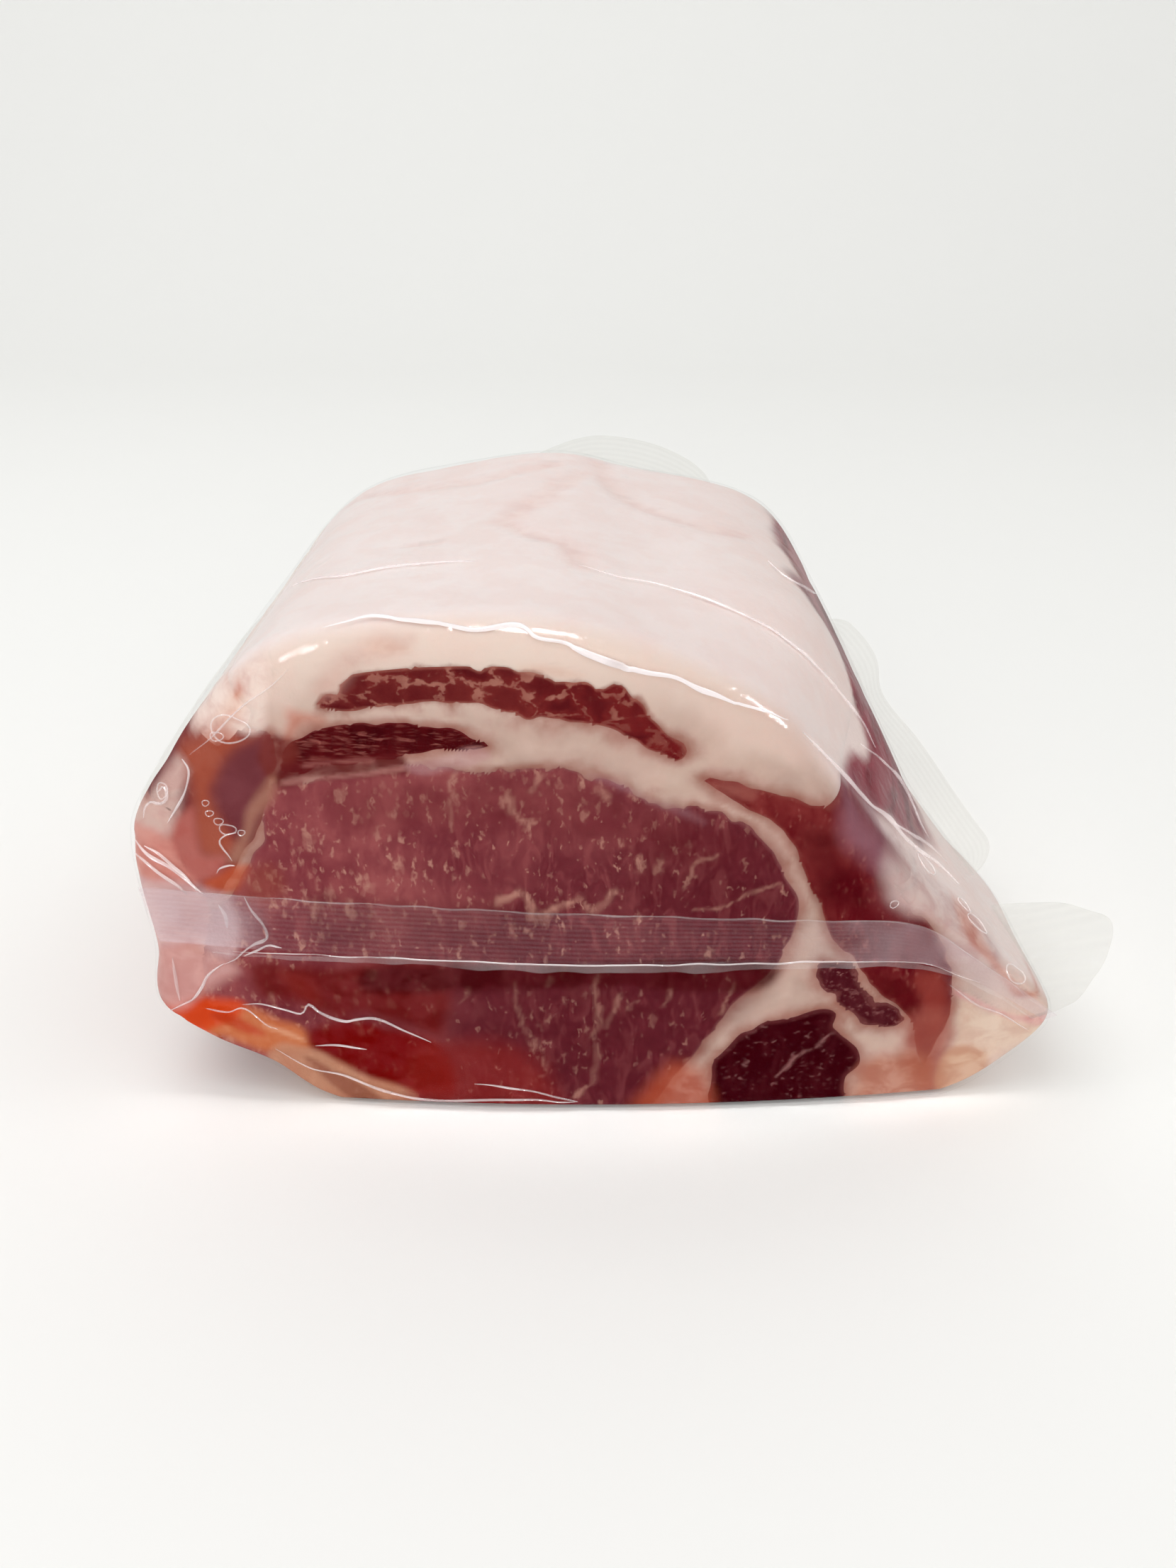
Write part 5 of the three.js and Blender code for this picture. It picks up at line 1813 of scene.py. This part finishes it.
@dataclass
class Pouch:
    """The clear film over the roast, with its folds, bubbles and milky places. Sizes are in millimetres."""

    effects: Effects
    form: PackForm
    ring: int = 420
    body_step: float = 2.0
    round_steps: int = 7
    face_rings: int = 26
    first_ring: float = 0.03  # as a share of the cut face
    stand_off: float = 0.5
    slack: Waver = Waver(0.25, 19.0, 71)
    slack_fine: Waver = Waver(0.1, 7.0, 72)
    floor: float = 0.02
    haze_uneven: Waver = Waver(0.12, 4.0, 81)
    haze_core: float = 0.25
    front_start: float = -40.0  # in front of the whole pack
    front_edge: float = 8.0  # where the cut face turns into the sides
    fold_step: float = 0.7
    fold_least: int = 12
    fold_tip: float = 0.004
    fold_taper: float = 0.6
    fold_swell: Waver = Waver(0.5, 4.0, 200)
    fold_wander: Waver = Waver(0.3, 5.0, 300)
    fold_across: int = 9
    fold_width: float = 0.33
    fold_rise: float = 0.02
    fold_sunk: float = 0.1
    veil_share: float = 0.75
    veil_level: float = 0.75
    veil_sway: Waver = Waver(0.45, 5.0, 400)
    veil_least: float = 0.03
    bubble_steps: int = 40
    bubble_rim: float = 0.16
    bubble_round: int = 8
    bubble_rise: float = 0.05
    bubble_veil: float = 0.22
    bubble_oval: float = 0.12
    bubble_pear: float = 0.07

    def build(self) -> None:
        """Makes the film and what stands out of it."""
        skin = self._skin()
        self._tree = BVHTree.FromPolygons([Vector(p) for p in skin.points], skin.faces)
        clear = FilmFinish("clear_film", "haze").build(self.effects)
        skin.place("pouch_film", clear, Slot.FILM)
        self._blocks: list[Array] = []
        self._faces: list[Face] = []
        self._veils: list[Array] = []
        for number, fold in enumerate(FOLDS):
            self._add_fold(fold, number)
        for bubble in BUBBLES:
            self._add_bubble(bubble)
        milky = FilmFinish("film_fold", "veil", ripple=0.0001, index=1.2, most=0.6).build(self.effects)
        folds = Skin(np.vstack(self._blocks), self._faces, {"veil": np.concatenate(self._veils)})
        folds.place("film_folds", milky, Slot.FILM)

    def _skin(self) -> Skin:
        """The film, just off the meat.

        Returns:
            Its closed mesh.
        """
        form = self.form
        base = form.loop(self.ring)
        shares = np.linspace(self.first_ring, 1.0, self.face_rings)[:-1]
        middle = np.array([0.0, form.mid_height])
        front = form.section(base, form.front_round, True) - middle
        back = form.section(base, form.back_round, False) - middle
        rows = form.rows(self.round_steps, self.body_step)
        rings = [at_depth(middle + front * share, 0.0) for share in shares]
        rings += [at_depth(form.section(base, inset, half), y) for y, inset, half in rows]
        rings += [at_depth(middle + back * share, form.depth) for share in shares[::-1]]
        ends = np.array([[0.0, 0.0, form.mid_height], [0.0, form.depth, form.mid_height]])
        settled = form.settle(np.vstack([*rings, ends]))
        number = np.arange(len(rings) * self.ring).reshape(len(rings), self.ring)
        after = np.roll(number, -1, axis=1)
        quads = ring_quads(number).reshape(-1, 4)
        caps = [(number.size, a, b) for a, b in zip(number[0].tolist(), after[0].tolist())]
        caps += [(number.size + 1, b, a) for a, b in zip(number[-1].tolist(), after[-1].tolist())]
        normals = vertex_normals(settled, np.vstack([quads[:, :3], caps, quads[:, [0, 2, 3]]]))
        relief = self.slack.at(settled) + self.slack_fine.at(settled)
        out = settled + normals * (self.stand_off + relief)[:, None]
        out[:, 2] = np.maximum(out[:, 2], self.floor)
        haze = np.zeros(len(out))
        uneven = 1 + self.haze_uneven.at(out)
        for spot in HAZES:
            gap = np.linalg.norm(out - np.array(spot.place), axis=1) * uneven
            haze = np.maximum(haze, spot.veil * (1 - ramp(gap, self.haze_core * spot.reach, spot.reach)))
        return Skin(out, as_faces(quads) + caps, {"haze": haze})

    def _add_tube(self, rings: Array, closed: bool, veil: Array) -> None:
        """Adds a closed tube of rings to the folds.

        Args:
            rings: its rings, each the same number of points.
            closed: whether the last ring meets the first.
            veil: how milky each ring is.
        """
        count, size, _ = rings.shape
        number = sum(len(block) for block in self._blocks) + np.arange(count * size).reshape(count, size)
        run = np.vstack([number, number[:1]]) if closed else number
        self._faces += as_faces(np.roll(ring_quads(run), -1, axis=2).reshape(-1, 4))
        if not closed:
            self._faces += [tuple(number[0].tolist()), tuple(number[-1][::-1].tolist())]
        self._blocks.append(rings.reshape(-1, 3))
        self._veils.append(np.repeat(veil, size))

    def _on_film(self, place: Array) -> tuple[Vector, Vector]:
        """The film nearest to a place.

        Args:
            place: (x, y, z), or (x, z) for the film straight behind it.

        Returns:
            The film's point and its normal.
        """
        if len(place) == 2:
            start = Vector((place[0], self.front_start, place[1]))
            spot, normal, _, _ = self._tree.ray_cast(start, Vector((0, 1, 0)))
            if spot is not None:
                return spot, normal
            place = np.array([place[0], self.front_edge, place[1]])
        spot, normal, _, _ = self._tree.find_nearest(Vector(place))
        return spot, normal

    def _add_fold(self, fold: Fold, seed: int) -> None:
        """Adds one raised line.

        Args:
            fold: the line.
            seed: sets its unevenness.
        """
        rough = np.asarray(fold.line, float)
        length = np.linalg.norm(np.diff(rough, axis=0), axis=1).sum()
        count = max(self.fold_least, int(length / self.fold_step))
        path = smooth_curve(rough, count, closed=False)
        spots = [self._on_film(p) for p in path]
        place = path if fold.free else np.array([spot for spot, _ in spots])
        up = np.array([normal for _, normal in spots])
        side = unit(np.cross(up, unit(np.gradient(place, axis=0))))
        share = np.clip(np.linspace(0, 1, count), self.fold_tip, 1 - self.fold_tip)
        size = np.sin(np.pi * share) ** self.fold_taper * (1 + self.fold_swell.at(place, seed))
        arch = np.linspace(-1, 1, self.fold_across)
        across = np.concatenate([arch, [1.0, -1.0]])
        raised = np.concatenate([1 - arch**2, [0.0, 0.0]])
        stands = np.concatenate([np.full(self.fold_across, self.fold_rise), [-self.fold_sunk] * 2])
        sideways = across[None] * (self.fold_width * fold.width * size)[:, None]
        sideways = sideways + self.fold_wander.at(place, seed)[:, None]
        upward = raised[None] * (fold.height * size)[:, None] + stands[None]
        rings = place[:, None] + side[:, None] * sideways[..., None] + up[:, None] * upward[..., None]
        veil = self.veil_share * fold.veil * (self.veil_level + self.veil_sway.at(place, seed))
        self._add_tube(rings, False, np.clip(veil, self.veil_least, 1 - self.veil_least))

    def _add_bubble(self, bubble: Bubble) -> None:
        """Adds the rim of one bubble.

        Args:
            bubble: the bubble.
        """
        spot, up = (np.array(part) for part in self._on_film(np.array(bubble.place)))
        side = unit(np.cross(np.array([0.0, 0.0, 1.0]), up))
        over = np.cross(up, side)
        turn = np.linspace(0, 2 * np.pi, self.bubble_steps, endpoint=False)
        flat = np.stack([bubble.wide * np.cos(turn), bubble.tall * np.sin(turn)], axis=1)
        oval = self.bubble_oval * np.sin(2 * turn + bubble.wide)
        flat *= (1 + oval + self.bubble_pear * np.sin(3 * turn + bubble.tall))[:, None]
        lean = math.radians(bubble.turn_deg)
        cos, sin = math.cos(lean), math.sin(lean)
        flat = flat @ np.array([[cos, sin], [-sin, cos]])
        around = np.linspace(0, 2 * np.pi, self.bubble_round, endpoint=False)
        rim = self.bubble_rim * min(1.0, 0.5 + 0.25 * bubble.wide)
        plane = flat[:, None] + unit(flat)[:, None] * (rim * np.cos(around))[None, :, None]
        height = self.bubble_rise + rim * np.sin(around)
        rings = spot + side * plane[..., :1] + over * plane[..., 1:] + up * height[:, None]
        self._add_tube(rings, True, np.full(self.bubble_steps, self.bubble_veil))


@dataclass(frozen=True)
class SealLength:
    """One length of the seal: the line that it leaves the pack along, and its free edge."""

    name: str
    root: Points
    edge: Points
    lies_flat: bool = False  # folded down on the cut face
    crossed: bool = False  # its ribs run from the pack to the free edge, not along it


SEAL_LENGTHS: tuple[SealLength, ...] = (
    SealLength(
        "seal_front",
        (
            (-80, 5, 36), (-52, 1.7, 35.5), (0, -0.9, 34.5), (40, 0.7, 34), (62, 2.9, 32.5), (74, 4.4, 27),
            (88, 6, 17.5),
        ),
        (
            (-82.5, 5, 47.5), (-54, 1.6, 47), (0, -1.2, 45.4), (40, 0.4, 43.2), (61, 2.5, 40.6),
            (75, 4, 31), (90.5, 6, 18.5),
        ),
        lies_flat=True,
    ),
    SealLength(
        "seal_right_flap",
        ((86, 7, 16.5), (85, 15, 18.5), (83, 25, 21.5), (80, 36, 24)),
        ((93, 7, 18), (99.5, 14, 20), (105, 21, 23), (107, 28, 26), (95, 37, 26)),
        crossed=True,
    ),
    SealLength(
        "seal_right",
        ((78, 44, 24), (74, 60, 29), (68, 80, 36), (62, 95, 43), (58, 103, 48), (52, 112, 57)),
        (
            (90.5, 46, 29), (84, 60, 35.5), (77.5, 80, 42.5), (71, 96, 48.5), (70.5, 106, 54.5),
            (61, 118, 64),
        ),
    ),
    SealLength(
        "seal_back",
        ((34, 117, 78), (20, 120, 87), (3, 120, 91), (-20, 120, 86), (-48, 117, 76)),
        ((34, 124, 88), (25, 126, 97.5), (3, 126.5, 103.5), (-20, 127.5, 96), (-48, 126, 86)),
    ),
    SealLength(
        "seal_left",
        ((-58, 106, 66), (-68, 90, 63), (-73, 62, 60), (-75, 34, 56), (-76, 12, 50)),
        ((-66, 112, 73), (-74.5, 92, 70.5), (-79.5, 62, 67), (-83, 34, 62.5), (-85.2, 10, 57.5)),
    ),
)


@dataclass
class Seal:
    """The welded edge of the pouch: folded up on the cut face, standing out elsewhere."""

    effects: Effects
    thick: float = 0.22
    ribs: int = 11
    rib_steps: int = 4
    rib_height: float = 0.012
    rib_veil: float = 0.03
    steps: int = 170
    ripples: int = 5
    ripple: float = 0.2
    ripple_growth: float = 1.5
    front_gap: float = 0.7
    round_share: float = 0.1
    round_least: float = 0.15
    crumple: Waver = Waver(0.5, 3.5, 91)
    left_veil: float = 0.16
    left_from: Band = (57.0, 68.0)
    right_veil: float = 0.1
    right_from: Band = (34.0, 60.0)
    sharp_deg: float = 80.0

    def build(self) -> None:
        """Makes every length of the seal."""
        flat = FilmFinish("seal_film_flat", "rib", 0.004, srgb(222, 202, 208), ripple=0.00005)
        free = FilmFinish(
            "seal_film_free", "rib", 0.05, srgb(240, 240, 238), srgb(250, 250, 249),
            roughness=0.15, ripple=0.00004, most=0.0005,
        )
        materials = {True: flat.build(self.effects), False: free.build(self.effects)}
        for length in SEAL_LENGTHS:
            finish = materials[length.lies_flat]
            self._strip(length).place(f"pouch_{length.name}", finish, Slot.FILM, length.name)

    def _strip(self, length: SealLength) -> Skin:
        """One ribbed strip of doubled film.

        Args:
            length: where it runs.

        Returns:
            Its mesh, milky along its ribs.
        """
        inner = smooth_curve(length.root, self.steps, closed=False)
        reach = smooth_curve(length.edge, self.steps, closed=False) - inner
        side = unit(np.cross(reach, np.gradient(inner, axis=0)))[:, None]
        across = np.linspace(0, 1, self.ribs * self.rib_steps + 1)
        share = np.linspace(0, 1, self.steps)
        along = share[:, None] if length.crossed else across[None]
        phase = np.broadcast_to(along, (self.steps, len(across)))
        rib = 0.5 - 0.5 * np.cos(phase * self.ribs * 2 * np.pi)
        close = np.clip(np.minimum(share, 1 - share) / self.round_share, 0.0, 1.0)
        rounded = np.sqrt(1 - (1 - close) ** 2).clip(self.round_least)
        wave = self.ripple * np.sin(share * self.ripples * 2 * np.pi)
        if length.lies_flat:
            rounded, wave = np.ones(self.steps), np.zeros(self.steps)
        centre = inner[:, None] + reach[:, None] * (rounded[:, None] * across[None])[..., None]
        lift = (wave[:, None] * across[None] ** self.ripple_growth)[..., None] * side
        up = (self.thick / 2 + self.rib_height * rib)[..., None] * side
        top, low = centre + lift + up, centre + lift - up
        points = np.concatenate([top, low[:, ::-1]], axis=1).reshape(-1, 3)
        number = np.arange(len(points)).reshape(self.steps, -1)
        faces = as_faces(np.roll(ring_quads(number), -1, axis=2).reshape(-1, 4))
        faces += [tuple(number[0].tolist()), tuple(number[-1][::-1].tolist())]
        veil = np.concatenate([rib, rib[:, ::-1]], axis=1).ravel() * self.rib_veil
        if length.lies_flat:
            points[:, 1] -= self.front_gap
            crumpled = 1 + self.crumple.at(points)
            veil += (self.left_veil * crumpled + veil) * ramp(-points[:, 0], *self.left_from)
            veil += self.right_veil * crumpled * ramp(points[:, 0], *self.right_from)
        return Skin(points, faces, {"rib": veil}, sharp_deg=self.sharp_deg)


# The stage


@dataclass(frozen=True)
class Lamp:
    """A soft lamp that looks at the pack: its place and size in metres and its power in watts."""

    name: str
    place: Trio
    wide: float
    tall: float
    power: float
    shines: bool = True  # lights what it falls on; else it only shows in the film's gloss


LAMPS: tuple[Lamp, ...] = (
    Lamp("soft_box", (-0.4, 0.0, 1.1), 0.9, 0.9, 3.6),
    Lamp("front_fill", (-0.1, -1.3, 0.55), 1.2, 0.7, 5.5),
    Lamp("glint_above", (0.02, -0.4, 0.85), 0.4, 0.16, 90.0, shines=False),
    Lamp("glint_left", (-0.6, -0.5, 0.5), 0.15, 0.3, 28.0, shines=False),
    Lamp("glint_right", (0.7, -0.2, 0.5), 0.15, 0.3, 60.0, shines=False),
)


@dataclass
class Studio:
    """Paper, soft light and the camera. The paper's sizes are in metres."""

    effects: Effects
    paper_half: float = 1.6
    paper_front: float = -1.4
    bend_start: float = 0.75
    bend: float = 0.5
    bend_steps: int = 12
    wall: float = 1.6
    room_tone: Colour = (1.0, 1.0, 0.99, 1.0)
    room_light: float = 0.72
    lamps_look_at: Trio = (0.0, 0.0, 0.05)
    camera_place: Trio = (0.0, -220.0, 178.0)  # millimetres, in the cut face's frame
    pitch_deg: float = 26.0
    lens: float = 32.4
    sensor: float = 36.0
    near: float = 0.01

    def build(self) -> None:
        """Sets the stage."""
        self._paper()
        self._light()
        self._camera()

    def _paper(self) -> None:
        """A sheet that sweeps up behind the pack."""
        side = [(self.paper_front, 0.0), (self.bend_start, 0.0)]
        for i in range(1, self.bend_steps + 1):
            turn = i / self.bend_steps * math.pi / 2
            side.append((self.bend_start + self.bend * math.sin(turn), self.bend * (1 - math.cos(turn))))
        side.append((self.bend_start + self.bend, self.wall))
        mesh = bpy.data.meshes.new("paper")
        points = [(x, y, z) for y, z in side for x in (-self.paper_half, self.paper_half)]
        starts = range(0, 2 * len(side) - 2, 2)
        mesh.from_pydata(points, [], [(i, i + 1, i + 3, i + 2) for i in starts])
        mesh.materials.append(PaperFinish().build(self.effects))
        mesh.shade_smooth()
        paper = bpy.data.objects.new("paper", mesh)
        bpy.context.scene.collection.objects.link(paper)

    def _light(self) -> None:
        """Soft light from above and all round."""
        world = bpy.data.worlds.new("soft_room")
        bpy.context.scene.world = world
        world.use_nodes = True
        back = world.node_tree.nodes["Background"]
        back.inputs["Color"].default_value = self.room_tone
        back.inputs["Strength"].default_value = self.room_light
        for lamp in LAMPS:
            light = bpy.data.lights.new(lamp.name, "AREA")
            light.shape = "RECTANGLE"
            light.size, light.size_y, light.energy = lamp.wide, lamp.tall, lamp.power
            holder = bpy.data.objects.new(lamp.name, light)
            holder.location = lamp.place
            aim = Vector(self.lamps_look_at) - Vector(lamp.place)
            holder.rotation_euler = aim.to_track_quat("-Z", "Y").to_euler()
            holder.visible_diffuse = lamp.shines
            bpy.context.scene.collection.objects.link(holder)

    def _camera(self) -> None:
        """The camera, at the photograph's viewing angle."""
        lens = bpy.data.cameras.new("camera")
        lens.lens, lens.sensor_width, lens.clip_start = self.lens, self.sensor, self.near
        camera = bpy.data.objects.new("camera", lens)
        camera.location = (np.array(self.camera_place) + TO_PART) * MM
        camera.rotation_euler = (math.radians(90.0 - self.pitch_deg), 0.0, 0.0)
        bpy.context.scene.collection.objects.link(camera)
        bpy.context.scene.camera = camera
        bpy.context.scene.view_settings.view_transform = "Standard"


def main() -> None:
    """Builds the roast, its pouch and the stage."""
    logging.basicConfig(level=logging.INFO, format="%(name)s %(message)s")
    effects = Effects()
    form = PackForm()
    Studio(effects).build()
    Roast(effects, form).build()
    Pouch(effects, form).build()
    Seal(effects).build()


if __name__ == "__main__":
    main()
